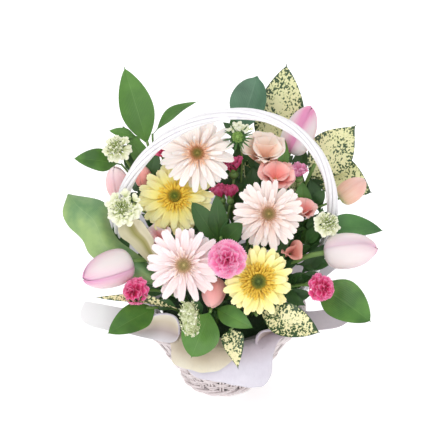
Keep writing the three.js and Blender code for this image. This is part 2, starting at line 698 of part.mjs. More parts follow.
const leftSalmon = stemPath(at(-84, 42, 222), at(-0.3, 0, 1), 1.6);
add('salmon_flowers_left', fuse([
  rod(leftSalmon, 1.6),
  salmonFlower(at(-84, 42, 220), at(-87, 44, 244), { petals: 3 }),
  branch(leftSalmon[5], at(-112, 36, 212)),
  salmonFlower(at(-111, 36, 211), at(-118, 38, 242), { petals: 3 }),
  branch(leftSalmon[4], at(-66, -6, 182)),
  salmonFlower(at(-66, -6, 181), at(-70, -20, 198), { petals: 3 }),
]), SALMON);

const frontSalmon = stemPath(at(-3, -60, 162), at(0, -0.5, 0.2).normalize(), 1.5, { shift: [3, 0] });
add('salmon_flower_front', fuse([
  rod(frontSalmon, 1.5),
  salmonFlower(at(-3, -58, 162), at(-5, -82, 150), { petals: 4 }),
]), SALMON);

const rightSalmon = stemPath(at(70, -28, 178), at(0.3, -0.5, 0.8).normalize(), 1.6);
add('salmon_flowers_right', fuse([
  rod(rightSalmon, 1.6),
  salmonFlower(at(70, -27, 177), at(73, -44, 192), { petals: 4 }),
  branch(rightSalmon[5], at(84, 6, 202)),
  salmonFlower(at(84, 6, 201), at(88, 2, 222), { petals: 4 }),
]), SALMON);

// Leafy stems: each leaf starts at a joint of its stem's path, or at a point with a stalk from that joint.
function leafyStem(name, { end, outward, leaves, material, shift, radius = 1.6 }) {
  const path = stemPath(end, outward.clone().normalize(), radius, { shift, spread: LEAF_SPREAD });
  const pieces = leaves.flatMap(({ joint, foot, tip, ...options }) => {
    const from = path[joint];
    if (!foot) return [leaf(from, tip, options)];
    return [branch(from, foot, 1.2), leaf(foot.clone().lerp(from, 1.5 / foot.distanceTo(from)), tip, options)];
  });
  add(name, fuse([rod(path, radius), ...pieces]), material);
}

leafyStem('ruscus_back_left', {
  end: at(-82, 74, 258), outward: at(-0.2, 0.1, 1), material: RUSCUS,
  leaves: [
    { joint: 6, tip: at(-107, 110, 332), width: 37, bow: 6 },
    { joint: 5, tip: at(-110, 82, 275), width: 20, bow: 4 },
    { joint: 5, foot: at(-92, 78, 262), tip: at(-124, 76, 270), width: 12, bow: 3 },
    { joint: 4, foot: at(-111, 70, 232), tip: at(-162, 54, 247), width: 26, bow: 5 },
    { joint: 6, foot: at(-76, 80, 264), tip: at(-26, 98, 295), width: 18, face: at(-0.5, 0, 1), bow: 6 },
  ],
});
leafyStem('ruscus_back', {
  end: at(18, 84, 272), outward: at(0.1, 0.1, 1), material: RUSCUS,
  leaves: [
    { joint: 6, tip: at(39, 110, 320), width: 42, bow: 4, face: at(-0.3, -0.8, 0.5) },
    { joint: 4, tip: at(-16, 112, 250), width: 28, face: at(0, 0.7, 0.7) },
    { joint: 3, tip: at(34, 116, 214), width: 30, face: at(0, 0.8, 0.6) },
  ],
});
leafyStem('ruscus_front_left', {
  end: at(-76, -86, 124), outward: at(-0.6, -0.6, 0.2), material: RUSCUS,
  leaves: [{ joint: 6, tip: at(-119, -109, 124), width: 28, bow: 4, face: at(0, -0.7, 0.7) }],
});
leafyStem('ruscus_front', {
  end: at(-12, -88, 142), outward: at(-0.1, -1, 0), material: RUSCUS,
  leaves: [
    { joint: 6, tip: at(-32, -118, 104), width: 38, bow: 6, face: at(0, -0.8, 0.6) },
    { joint: 5, tip: at(33, -106, 133), width: 22, bow: 4, face: at(0, -0.8, 0.6) },
  ],
});
leafyStem('ruscus_right', {
  end: at(107, -48, 154), outward: at(0.6, -0.5, 0.2), material: RUSCUS,
  leaves: [{ joint: 6, tip: at(157, -83, 125), width: 42, bow: 6 }],
});
leafyStem('ruscus_centre', {
  end: at(-1, -48, 208), outward: at(0, -0.5, 0.8), material: RUSCUS, shift: [-6, 6],
  leaves: [
    { joint: 6, tip: at(-32, -28, 240), width: 17, bow: 3 },
    { joint: 6, tip: at(-6, -22, 246), width: 18, bow: 3 },
    { joint: 6, tip: at(20, -52, 230), width: 16, bow: 3 },
  ],
});
leafyStem('ruscus_inner_right', {
  end: at(92, 22, 206), outward: at(0.2, 0.1, 1), material: RUSCUS,
  leaves: [
    { joint: 6, tip: at(87, 32, 232), width: 22, bow: 3 },
    { joint: 5, foot: at(64, 33, 238), tip: at(68, 44, 276), width: 12, bow: 3 },
    { joint: 4, tip: at(126, 28, 198), width: 24, bow: 4 },
  ],
});

leafyStem('dracaena_back', {
  end: at(60, 90, 236), outward: at(0.1, 0.2, 1), material: SPECKLED, radius: 2,
  leaves: [
    { joint: 6, tip: at(72, 132, 326), width: 50, bow: 5, fold: 0.05 },
    { joint: 5, foot: at(44, 66, 236), tip: at(55, 68, 266), width: 16, bow: 2 },
    { joint: 4, tip: at(20, 64, 252), width: 16, bow: 3 },
    { joint: 4, tip: at(60, 134, 226), width: 34, face: at(0, 0.7, 0.7) },
  ],
});
leafyStem('dracaena_right', {
  end: at(102, 66, 234), outward: at(0.4, 0.2, 1), material: SPECKLED, radius: 2,
  leaves: [
    { joint: 6, tip: at(146, 86, 274), width: 40, bow: 5 },
    { joint: 6, tip: at(162, 55, 208), width: 36, bow: 12, face: at(0, -0.4, 0.9) },
    { joint: 5, tip: at(78, 54, 246), width: 22, bow: 4 },
  ],
});
leafyStem('dracaena_front', {
  end: at(36, -88, 138), outward: at(0.2, -1, 0.1), material: SPECKLED, radius: 1.8,
  leaves: [
    { joint: 6, tip: at(102, -108, 129), width: 34, bow: 6 },
    { joint: 5, foot: at(8, -92, 122), tip: at(17, -121, 92), width: 26, bow: 4, face: at(0, -0.8, 0.6) },
  ],
});
leafyStem('dracaena_left', {
  end: at(-44, -86, 138), outward: at(-0.4, -0.9, 0.2), material: SPECKLED, radius: 1.8,
  leaves: [{ joint: 6, tip: at(-130, -86, 152), width: 18, bow: -7, face: at(0, -0.3, 1) }],
});

// Floral foam, with a plain hole for each stem

const foam = turned([
  [0, 7.2], [36, 7.2], [41, 58], [LINER_RADIUS - 3.6, LINER_TOP - 2], [60, FOAM_TOP], [0, FOAM_TOP],
], 20);
const drilled = foamHoles.map(solid).reduce((rest, hole) => rest.subtract(hole), solid(foam));
add('floral_foam', shape(drilled), FOAM);

export default arrangement;
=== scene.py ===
# A gift arrangement of cut flowers in a whitewashed willow basket: the looks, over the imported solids.
# Places that repeat the part's own are given in its millimetres and pass through mm().
import math
import bpy
import numpy as np
from mathutils import Euler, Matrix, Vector


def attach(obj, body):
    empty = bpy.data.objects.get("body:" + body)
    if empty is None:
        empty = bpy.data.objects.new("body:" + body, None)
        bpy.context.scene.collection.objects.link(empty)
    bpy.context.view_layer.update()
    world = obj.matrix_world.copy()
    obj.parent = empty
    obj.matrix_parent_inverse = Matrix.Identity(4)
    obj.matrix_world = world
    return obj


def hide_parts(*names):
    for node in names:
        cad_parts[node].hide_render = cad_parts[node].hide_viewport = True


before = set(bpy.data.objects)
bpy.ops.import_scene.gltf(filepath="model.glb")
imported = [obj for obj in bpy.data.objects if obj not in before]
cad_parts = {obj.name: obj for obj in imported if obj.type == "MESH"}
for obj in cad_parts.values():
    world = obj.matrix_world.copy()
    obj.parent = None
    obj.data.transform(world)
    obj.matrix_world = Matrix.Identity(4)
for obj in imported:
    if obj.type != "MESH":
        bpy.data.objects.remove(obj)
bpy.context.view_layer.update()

rng = np.random.default_rng(12)


# Camera: a long lens from 30 degrees above the table, straight at the front of the basket.
# It is aimed a little above the middle of the arrangement, as the photograph is framed.
AIM = Vector((-0.002, 0.0, 0.201))
DISTANCE = 1.5
ELEVATION = math.radians(30)

camera = bpy.data.objects.new("camera", bpy.data.cameras.new("camera"))
bpy.context.collection.objects.link(camera)
camera.location = AIM + DISTANCE * Vector((0, -math.cos(ELEVATION), math.sin(ELEVATION)))
camera.rotation_euler = (math.pi / 2 - ELEVATION, 0, 0)
camera.data.sensor_width = 36
camera.data.lens = 114.7
bpy.context.scene.camera = camera


# Studio: an even white room, a large soft light from the upper left, a weaker one from the right and one
# from behind. The floor is white and runs far back, so that the picture's ground stays white.
def soft_light(name, place, size, power, color=(1, 1, 1)):
    """A square lamp at a place, turned to the point that the camera looks at."""
    lamp = bpy.data.lights.new(name, "AREA")
    lamp.size = size
    lamp.energy = power
    lamp.color = color
    light = bpy.data.objects.new(name, lamp)
    light.location = place
    light.rotation_euler = (AIM - Vector(place)).to_track_quat("-Z", "Y").to_euler()
    bpy.context.collection.objects.link(light)


soft_light("key_light", (-0.8, -1.1, 1.5), 0.9, 9)
soft_light("fill_light", (0.45, -1.5, 0.75), 1.2, 6, (0.96, 0.97, 1))
soft_light("back_light", (0.3, 1.4, 1.2), 1.0, 6)

bpy.context.scene.view_settings.view_transform = "Standard"
world = bpy.data.worlds.new("room")
bpy.context.scene.world = world
world.use_nodes = True
room = world.node_tree.nodes["Background"].inputs
room["Color"].default_value = (1, 1, 1, 1)
room["Strength"].default_value = 0.76

FLOOR_SIZE, FLOOR_HEIGHT = 14, -0.0006
FLOOR_WHITE = {"Base Color": (0.95, 0.95, 0.95, 1), "Roughness": 0.9,
               "Emission Color": (1, 1, 1, 1), "Emission Strength": 0.32}
bpy.ops.mesh.primitive_plane_add(size=FLOOR_SIZE, location=(0, 0, FLOOR_HEIGHT))
floor = bpy.context.object
floor.name = "floor"
floor_paint = bpy.data.materials.new("floor_white")
floor_paint.use_nodes = True
for socket, value in FLOOR_WHITE.items():
    floor_paint.node_tree.nodes["Principled BSDF"].inputs[socket].default_value = value
floor.data.materials.append(floor_paint)


# Basket: whitewashed willow. Double rows of weave pass in and out of pairs of upright stakes, from a braided
# thick foot to an open band where the stakes stand free, then one more row under the rolled rim.
FOOT_RADIUS, RIM_RADIUS = 0.046, 0.092
FOOT_HEIGHT, RIM_HEIGHT = 0.010, 0.086
FOOT_ROD, RIM_ROD = 0.0036, 0.0042
WALL = 0.005
STAKES = 24
STAKE_BOTTOM, STAKE_ROD = 0.006, 0.0013
STAKE_GAP, BAND_GAP = 0.0016, 0.0008
RIM_LIFT = 0.00035
WEAVE_ROWS = 7
WEAVE_BOTTOM, WEAVE_TOP, BAND_TOP = 0.00755, 0.057, 0.0725
WEAVE_SWING, WEAVE_WANDER, STRIP_THICKNESS = 0.0021, 0.0003, 0.0016
BASE_HEIGHT, BASE_RADIUS, BASE_ROD = 0.0026, 0.0385, 0.0016
BASE_RINGS, BASE_START, BASE_PITCH = 12, 0.004, 0.0031
SPOKES, SPOKE_HEIGHT, SPOKE_ROD = 8, 0.0027, 0.0011


def mm(*values):
    """Millimetres as metres."""
    return np.array(values, float) * 0.001


def around(radius, angle, height):
    """Places at a radius and an angle about the upright axis, and at a height."""
    return np.stack(np.broadcast_arrays(radius * np.cos(angle), radius * np.sin(angle), height), -1)


def circle(count):
    """Even angles round a full turn."""
    return np.linspace(0, 2 * math.pi, count, endpoint=False)


def grid(points, closed=False, tone=0.5, flip=False):
    """A patch from rows of points: two triangles to each cell, and coordinates v along the rows and u
    across them, from 0 to 1. The tone is a shade of its own for one petal, leaf or rod."""
    rows, columns = points.shape[:2]
    across = columns if closed else columns - 1
    row, column = np.meshgrid(np.arange(rows - 1), np.arange(across), indexing="ij")
    corners = [row * columns + column, row * columns + (column + 1) % columns]
    corners += [corners[1] + columns, corners[0] + columns]
    a, b, c, d = [corner.ravel() for corner in corners]
    triangles = np.concatenate([np.stack([a, b, c], 1), np.stack([a, c, d], 1)])
    if flip:
        triangles = triangles[:, ::-1]
    v, u = np.meshgrid(np.linspace(0, 1, rows), np.linspace(0, 1, columns), indexing="ij")
    uv = np.stack([u.ravel(), v.ravel()], 1)
    return points.reshape(-1, 3), triangles, uv, np.full(rows * columns, tone)


def frames_along(path, first=(0.13, 0.99, 0.05)):
    """The tangent, side and up directions at each point of a path, turning as little as possible."""
    tangents = np.gradient(path, axis=0)
    tangents /= np.linalg.norm(tangents, axis=1)[:, None]
    side = np.array(first, float)
    sides = []
    for tangent in tangents:
        side = side - tangent * (side @ tangent)
        side /= np.linalg.norm(side)
        sides.append(side)
    sides = np.array(sides)
    return tangents, sides, np.cross(tangents, sides)


def tube(path, radius, sides=8, tone=0.5):
    """A circle carried along the path, drawn in to a twentieth at 0.4 of its radius beyond each end."""
    path = np.asarray(path, float)
    radius = np.broadcast_to(radius, len(path)).astype(float)
    tangents, side, up = frames_along(path)
    before = path[:1] - tangents[:1] * radius[0] * 0.4
    after = path[-1:] + tangents[-1:] * radius[-1] * 0.4
    path = np.vstack([before, path, after])
    radius = np.concatenate([[radius[0] * 0.05], radius, [radius[-1] * 0.05]])
    side, up = [np.vstack([way[:1], way, way[-1:]]) for way in (side, up)]
    turn = circle(sides)
    rim = side[:, None] * np.cos(turn)[None, :, None] + up[:, None] * np.sin(turn)[None, :, None]
    return grid(path[:, None] + rim * radius[:, None, None], closed=True, tone=tone, flip=True)


def piece(name, patches, material, nodes=()):
    """Makes one object of the patches, which rides on the basket and stands for the named solids."""
    points, triangles, uv, tone = zip(*patches)
    start = np.cumsum([0] + [len(patch) for patch in points])
    triangles = np.concatenate([corners + first for corners, first in zip(triangles, start)])
    points, uv, tone = [np.concatenate(values) for values in (points, uv, tone)]
    mesh = bpy.data.meshes.new(name)
    mesh.vertices.add(len(points))
    mesh.vertices.foreach_set("co", points.astype(np.float32).ravel())
    mesh.loops.add(triangles.size)
    mesh.loops.foreach_set("vertex_index", triangles.astype(np.int32).ravel())
    mesh.polygons.add(len(triangles))
    mesh.polygons.foreach_set("loop_start", np.arange(len(triangles), dtype=np.int32) * 3)
    mesh.polygons.foreach_set("use_smooth", np.ones(len(triangles), bool))
    layer = mesh.uv_layers.new(name="surface")
    layer.data.foreach_set("uv", uv[triangles.ravel()].astype(np.float32).ravel())
    shade = mesh.attributes.new("tone", "FLOAT", "POINT")
    shade.data.foreach_set("value", tone.astype(np.float32))
    mesh.update()
    mesh.validate()
    mesh.materials.append(material)
    item = bpy.data.objects.new(name, mesh)
    bpy.context.collection.objects.link(item)
    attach(item, "root")
    if nodes:
        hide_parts(*nodes)
    return item


def rgba(color):
    """A shader's colour from a code such as "f8e4da", read as the eye reads it, from three linear shares
    or from one for a grey. A socket stays as it is."""
    if isinstance(color, bpy.types.NodeSocket):
        return color
    if isinstance(color, str):
        shares = [int(color[k:k + 2], 16) / 255 for k in (0, 2, 4)]
        color = [s / 12.92 if s <= 0.04045 else ((s + 0.055) / 1.055) ** 2.4 for s in shares]
    elif isinstance(color, (int, float)):
        color = [color] * 3
    return (*color, 1)


class Paint:
    """One material, whose colours and relief come from the surface's own coordinates or its place."""

    def __init__(self, name, roughness, glow=0, depth=None, **settings):
        """The glow is the share of the light that goes into the surface, and the depth how far each of its
        colours goes, in metres; other settings are the shader's own."""
        if glow:
            settings.update(Subsurface_Weight=glow, Subsurface_Radius=depth, Subsurface_Scale=1.0)
        self.material = bpy.data.materials.new(name)
        self.material.use_nodes = True
        self.tree = self.material.node_tree
        self.shader = self.tree.nodes["Principled BSDF"]
        self.shader.inputs["Roughness"].default_value = roughness
        for socket, value in settings.items():
            self.shader.inputs[socket.replace("_", " ")].default_value = value

    def node(self, kind, inputs=(), **settings):
        made = self.tree.nodes.new("ShaderNode" + kind)
        for key, value in settings.items():
            setattr(made, key, value)
        for socket, value in dict(inputs).items():
            if isinstance(value, bpy.types.NodeSocket):
                self.tree.links.new(value, made.inputs[socket])
            else:
                made.inputs[socket].default_value = value
        return made

    def surface(self):
        """The surface's own coordinates, u across and v along."""
        return self.node("UVMap", uv_map="surface").outputs[0]

    def along(self):
        return self.node("SeparateXYZ", {0: self.surface()}).outputs["Y"]

    def across(self):
        return self.node("SeparateXYZ", {0: self.surface()}).outputs["X"]

    def from_rib(self):
        """The distance across from the middle line, up to 0.5."""
        return self.math("ABSOLUTE", self.math("SUBTRACT", self.across(), 0.5))

    def place(self):
        return self.node("TexCoord").outputs["Object"]

    def tone(self):
        return self.node("Attribute", attribute_name="tone").outputs["Fac"]

    def math(self, operation, first, second=0.0):
        return self.node("Math", {0: first, 1: second}, operation=operation).outputs[0]

    def times(self, first, second):
        return self.math("MULTIPLY", first, second)

    def plus(self, first, second):
        return self.math("ADD", first, second)

    def stretch(self, vector, scale):
        return self.node("Mapping", {"Vector": vector, "Scale": scale}).outputs[0]

    def noise(self, vector, scale, detail=2.0, rough=0.5):
        inputs = {"Vector": vector, "Scale": scale, "Detail": detail, "Roughness": rough}
        return self.node("TexNoise", inputs).outputs["Fac"]

    def cloud(self, scale, detail=2.0, rough=0.5):
        """Noise in place, which takes no notice of the surface's own directions."""
        return self.noise(self.place(), scale, detail, rough)

    def grain(self, stretch, scale, detail=2.0, rough=0.5):
        """Noise on the surface's own coordinates, with a stretch of its own each way."""
        return self.noise(self.stretch(self.surface(), stretch), scale, detail, rough)

    def ribs(self, scale, bend):
        """Lines along the surface: waves across it, bent a little."""
        waves = {"Vector": self.surface(), "Scale": scale, "Distortion": bend}
        return self.node("TexWave", waves, bands_direction="X").outputs["Fac"]

    def ramp(self, factor, *stops):
        """Colours along the factor: stops are (place, colour)."""
        made = self.node("ValToRGB", {"Fac": factor})
        bar = made.color_ramp
        while len(bar.elements) < len(stops):
            bar.elements.new(0.5)
        for element, (place, color) in zip(bar.elements, stops):
            element.position = place
            element.color = rgba(color)
        return made.outputs["Color"]

    def mix(self, factor, first, second, blend="MIX"):
        inputs = {0: factor, 6: rgba(first), 7: rgba(second)}
        return self.node("Mix", inputs, data_type="RGBA", blend_type=blend).outputs[2]

    def finish(self, color, height, strength=0.3, depth=0.0005):
        """Joins the colour to the shader, and the height as relief of a strength and a depth."""
        self.tree.links.new(color, self.shader.inputs["Base Color"])
        bump = self.node("Bump", {"Height": height, "Strength": strength, "Distance": depth})
        self.tree.links.new(bump.outputs["Normal"], self.shader.inputs["Normal"])
        return self.material


def willow(name, shadow, body=(0.84, 0.82, 0.84), light=(0.93, 0.92, 0.94)):
    """White wash over bark, darker where grain along the rod and a cloud in place are both low: the shadow
    colour there is both the bark's colour and painted shade.
    """
    paint = Paint(name, 0.5, Specular_IOR_Level=0.35)
    grain = paint.grain((3, 60, 1), 2.0, 4)
    worn = paint.times(grain, paint.cloud(90, 3))
    bare = paint.ramp(worn, (0.07, shadow), (0.17, body), (0.45, light))
    return paint.finish(bare, grain, 0.25, 0.0004)


# The weave is a darker copy of the willow, down to a deep brown shadow colour: painted shade on the lower
# wall and in the gaps of the weave. The handle's lavender shadow colour is painted shade too.
weave_shaded_material = willow("willow_weave_shaded", (0.34, 0.26, 0.25), (0.7, 0.62, 0.62), (0.88, 0.81, 0.81))
handle_material = willow("willow_handle", (0.7, 0.7, 0.79))


def wall_radius(z):
    """The middle of the wall at a height, on a straight line from the foot to the rim."""
    flare = np.clip((z - FOOT_HEIGHT) / (RIM_HEIGHT - FOOT_HEIGHT), 0, None)
    return FOOT_RADIUS + (RIM_RADIUS - FOOT_RADIUS) * flare - WALL / 2


def flat_ring(height, swing, wide, tone):
    """A row of weave: a flat oval strip whose radius swings as a cosine, out over one stake and in behind
    the next."""
    angle = circle(STAKES * 8)[:, None]
    middle = wall_radius(height) + swing * np.cos(STAKES * angle / 2)
    slope = math.atan2(RIM_RADIUS - FOOT_RADIUS, RIM_HEIGHT - FOOT_HEIGHT)
    turn = circle(12)
    up = wide / 2 * np.sign(np.sin(turn)) * np.abs(np.sin(turn)) ** 0.7
    out = STRIP_THICKNESS / 2 * np.cos(turn)
    reach = middle + out * math.cos(slope) + up * math.sin(slope)
    rise = height + up * math.cos(slope) - out * math.sin(slope) + WEAVE_WANDER * np.sin(3 * angle)
    points = around(reach, angle, rise)
    return grid(np.vstack([points, points[:1]]), closed=True, tone=tone)


def twisted_ring(radius, height, thick, strands, turns):
    """Rods laid round a ring and round one another: each circles the ring's middle line."""
    rods = []
    orbit = 0.55 * thick
    angle = circle(200)
    for strand in range(strands):
        roll = turns * angle + 2 * math.pi * strand / strands
        path = around(radius + orbit * np.cos(roll), angle, height + orbit * np.sin(roll))
        rods.append(tube(np.vstack([path, path[:2]]), 0.48 * thick, 8, tone=rng.random()))
    return rods


weavers = []
pitch = (WEAVE_TOP - WEAVE_BOTTOM) / WEAVE_ROWS
top_pitch = (RIM_HEIGHT - BAND_TOP) / 2
middles = [WEAVE_BOTTOM + pitch * (row + 0.5) for row in range(WEAVE_ROWS)] + [BAND_TOP + top_pitch]
for row, z in enumerate(middles):
    over = WEAVE_SWING * (1 if row % 2 else -1)
    for beside in (-1, 1):
        weavers.append(flat_ring(z + beside * 0.25 * pitch, over, 0.4 * pitch, rng.random()))
for stake in range(STAKES):
    for beside in (-1, 1):
        z = np.linspace(STAKE_BOTTOM, RIM_HEIGHT, 26)
        apart = beside * (STAKE_GAP + BAND_GAP * (z > WEAVE_TOP)) / wall_radius(z)
        path = around(wall_radius(z), 2 * math.pi * stake / STAKES + apart, z)
        weavers.append(tube(path, STAKE_ROD, 6, tone=rng.random()))
piece("basket_weave", weavers, weave_shaded_material, ["basket_wall"])

foot = twisted_ring(FOOT_RADIUS - WALL / 2, FOOT_ROD, FOOT_ROD, 3, 5)
piece("basket_foot_braid", foot, weave_shaded_material, ["basket_foot"])
rim = twisted_ring(RIM_RADIUS - WALL / 2, RIM_HEIGHT + RIM_ROD + RIM_LIFT, RIM_ROD, 4, 12)
piece("basket_rim_roll", rim, weave_shaded_material, ["basket_rim"])

base = []
for ring in range(BASE_RINGS):
    angle = np.linspace(0, 2 * math.pi, 97)
    swing = BASE_ROD * np.cos(SPOKES * angle + math.pi * (ring + 1))
    path = around(BASE_START + BASE_PITCH * ring, angle, BASE_HEIGHT + swing * 0.5)
    base.append(tube(path, BASE_ROD, 6, tone=rng.random()))
for spoke in range(SPOKES):
    ends = around(np.array([-BASE_RADIUS, BASE_RADIUS]), math.pi * spoke / SPOKES, SPOKE_HEIGHT)
    base.append(tube(ends, SPOKE_ROD, 6))
piece("basket_base_weave", base, weave_shaded_material, ["basket_base"])


# Handle: a hoop of six long rods laid round one another in a slow twist, from inside the wall on one side
# over the flowers to the other. Its path is the same as the solid's.
HOOP_RADIUS, HOOP_STRANDS, HOOP_TURNS = 0.0066, 6, 2.6
STRAND_ORBIT, STRAND_GIRTH, CORE_GIRTH = 0.62, 0.29, 0.48
HOOP_LEAN, LEAN_START, HOOP_TOP = 0.018, 0.1, 0.327


def spline(points, t):
    """A centripetal Catmull-Rom curve through the points, at t from 0 to 1: between two of them it blends
    both with the slopes there, by cubic weights, over gaps that go with the root of the distance."""
    points = np.asarray(points, float)
    knots = np.concatenate([[2 * points[0] - points[1]], points, [2 * points[-1] - points[-2]]])
    place = np.clip(np.atleast_1d(t), 0, 1) * (len(points) - 1)
    start = np.minimum(place.astype(int), len(points) - 2)
    p0, p1, p2, p3 = [knots[start + k] for k in range(4)]
    pairs = ((p0, p1), (p1, p2), (p2, p3))
    gap = [np.sqrt(np.maximum(np.linalg.norm(b - a, axis=1), 1e-6))[:, None] for a, b in pairs]
    leave = ((p1 - p0) / gap[0] - (p2 - p0) / (gap[0] + gap[1]) + (p2 - p1) / gap[1]) * gap[1]
    arrive = ((p2 - p1) / gap[1] - (p3 - p1) / (gap[1] + gap[2]) + (p3 - p2) / gap[2]) * gap[1]
    w = (place - start)[:, None]
    curve = p1 * (2 * w**3 - 3 * w**2 + 1) + leave * (w**3 - 2 * w**2 + w)
    return curve + p2 * (3 * w**2 - 2 * w**3) + arrive * (w**3 - w**2)


def through(points, count, steps):
    """The curve through the points, worked out in steps and then read at even distances along it."""
    path = spline(points, np.linspace(0, 1, steps))
    travelled = np.concatenate([[0], np.cumsum(np.linalg.norm(np.diff(path, axis=0), axis=1))])
    wanted = np.linspace(0, travelled[-1], count)
    return np.stack([np.interp(wanted, travelled, path[:, axis]) for axis in range(3)], 1)


leg = [(63.6, 61), (76.3, 86), (80, 97), (94, 124), (107, 158)]
arch = [(114 * math.cos(math.radians(a)), 200 + 127 * math.sin(math.radians(a))) for a in range(180, -1, -20)]
hoop = mm(*[(x, 0, z) for x, z in [(-x, z) for x, z in leg] + arch + leg[::-1]])
raised = np.clip(hoop[:, 2] - LEAN_START, 0, None) / (HOOP_TOP - LEAN_START)
hoop[:, 0] += HOOP_LEAN * raised**2
hoop = through(hoop, 260, 400)
_, hoop_side, hoop_up = frames_along(hoop, (0, 1, 0))
rods = []
for strand in range(HOOP_STRANDS):
    roll = 2 * math.pi * (strand / HOOP_STRANDS + HOOP_TURNS * np.linspace(0, 1, len(hoop)))[:, None]
    away = (hoop_side * np.cos(roll) + hoop_up * np.sin(roll)) * HOOP_RADIUS * STRAND_ORBIT
    rods.append(tube(hoop + away, HOOP_RADIUS * (STRAND_GIRTH + 0.03 * rng.random()), 9, tone=rng.random()))
piece("basket_handle_rods", rods, handle_material, ["basket_handle"])
# Painted shade: a dark grey-lilac rod inside the strands, so that the grooves between them read dark.
core_shade_material = willow("willow_core_painted_shade", (0.25, 0.25, 0.32), (0.35, 0.35, 0.42), (0.45, 0.45, 0.52))
piece("basket_handle_shade_core", [tube(hoop, HOOP_RADIUS * CORE_GIRTH, 8)], core_shade_material)


# Liner and foam: the pot liner is thin dark plastic, and the foam is wet green crumb that holds every stem.
# Both solids have the right shape and stay.
def repaint(node, material):
    """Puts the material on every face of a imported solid."""
    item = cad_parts[node]
    item.data.materials.clear()
    item.data.materials.append(material)
    for face in item.data.polygons:
        face.material_index = 0


def speckle(name, rough, grain, strength, *stops, depth=0.0005):
    """A colour and a relief that follow one noise in place; the grain is its scale, detail and roughness."""
    paint = Paint(name, rough)
    speck = paint.cloud(*grain)
    return paint.finish(paint.ramp(speck, *stops), speck, strength, depth)


repaint("pot_liner", speckle(
    "liner_plastic", 0.35, (60, 2), 0.2, (0.3, (0.03, 0.04, 0.025)), (0.7, (0.05, 0.06, 0.04))))
repaint("floral_foam", speckle(
    "foam_crumb", 0.95, (700, 4, 0.7), 0.8, (0.35, (0.006, 0.02, 0.005)), (0.7, (0.02, 0.06, 0.015)),
    depth=0.001))


# Papers: thin white and cream fleece, tucked in beside the liner, laid over the rim and left to fall in
# soft folds. The hems follow the solids' hems, drawn back a little at the sides, with finer waves.
PAPER_THICKNESS = 0.0004


def paper_material(name, light, shade, far):
    """Fine fibre over a soft cloud from shade to light, with painted shade in a darker band under the
    flowers, and painted light far out on the left, where most light comes through the paper."""
    paint = Paint(name, 0.75, 0.35, (0.004, 0.004, 0.004), Sheen_Weight=0.15)
    fibre = paint.noise(paint.stretch(paint.place(), (1, 1, 0.35)), 420, 5, 0.7)
    cloud = paint.cloud(28, 3)
    color = paint.mix(paint.ramp(cloud, (0.3, 0), (0.72, 1)), shade, light)
    color = paint.mix(0.12, color, paint.ramp(fibre, (0.3, (0.55, 0.55, 0.6)), (0.6, 1)), "MULTIPLY")
    place = paint.node("SeparateXYZ", {0: paint.place()})
    # Painted shade: a pinkish-grey band at the height just under the flowers.
    high = paint.ramp(place.outputs["Z"], (0.08, 0), (0.096, 1), (0.104, 1), (0.125, 0.3))
    color = paint.mix(high, color, paint.mix(1.0, color, (0.74, 0.66, 0.66), "MULTIPLY"))
    # Painted light: the paper turns to the far, lighter colour out on the left.
    out = paint.times(place.outputs["X"], -1.0)
    color = paint.mix(paint.ramp(out, (0.085, 0), (0.13, 1)), color, far)
    return paint.finish(color, fibre, 0.35, 0.0004)


white_paper = paper_material("fleece_white", (0.71, 0.68, 0.77), (0.58, 0.54, 0.63), (0.95, 0.95, 0.98))
cream_paper = paper_material("fleece_cream", (0.86, 0.82, 0.64), (0.74, 0.66, 0.46), (0.9, 0.88, 0.78))


def paper(name, hem, inside, material, slot, flat, folds, seed):
    """A skirt of paper: a curve carried round the basket, through the inside's (radius, height) to the
    hem's at each angle. Cosines of the angle lift and spread it more and more towards the hem."""
    rows, columns = 34, 150
    draw = np.random.default_rng(seed)
    edge = spline(hem, np.linspace(1, 0, columns))
    v = np.linspace(0, 1, rows)
    start = [(0, *point) for point in inside]
    profile = np.stack([spline(start + [(0, r, z)], v) for _, r, z in edge], 1)
    radius, height = profile[..., 1], profile[..., 2]
    angle = np.radians(np.broadcast_to(edge[:, 0], radius.shape))
    loose = np.clip((v[:, None] - 0.35) / 0.65, 0, 1) ** 1.4
    for count in folds:
        swell = np.cos(count * angle + draw.uniform(0, 6)) * loose
        radius += swell * draw.uniform(1.2, 2.2) * 6 / count
        height += swell * draw.uniform(1.5, 3.0) * 6 / count
    height += np.cos(40 * angle + 3 * v[:, None] + draw.uniform(0, 6)) * loose * 0.35
    middle = 0.001 * around(radius, angle, height)
    normal = np.cross(np.gradient(middle, axis=1), np.gradient(middle, axis=0))
    normal /= np.linalg.norm(normal, axis=2)[:, :, None]
    top, bottom = [middle + side * normal * PAPER_THICKNESS / 2 for side in (1, -1)]
    walls = [np.stack([top[0], bottom[0]]), np.stack([bottom[-1], top[-1]])]
    walls += [np.stack([bottom[:, 0], top[:, 0]]), np.stack([top[:, -1], bottom[:, -1]])]
    faces = [grid(top), grid(bottom, flip=True)] + [grid(wall) for wall in walls]
    item = piece(name + "_sheet", faces, material, [name])


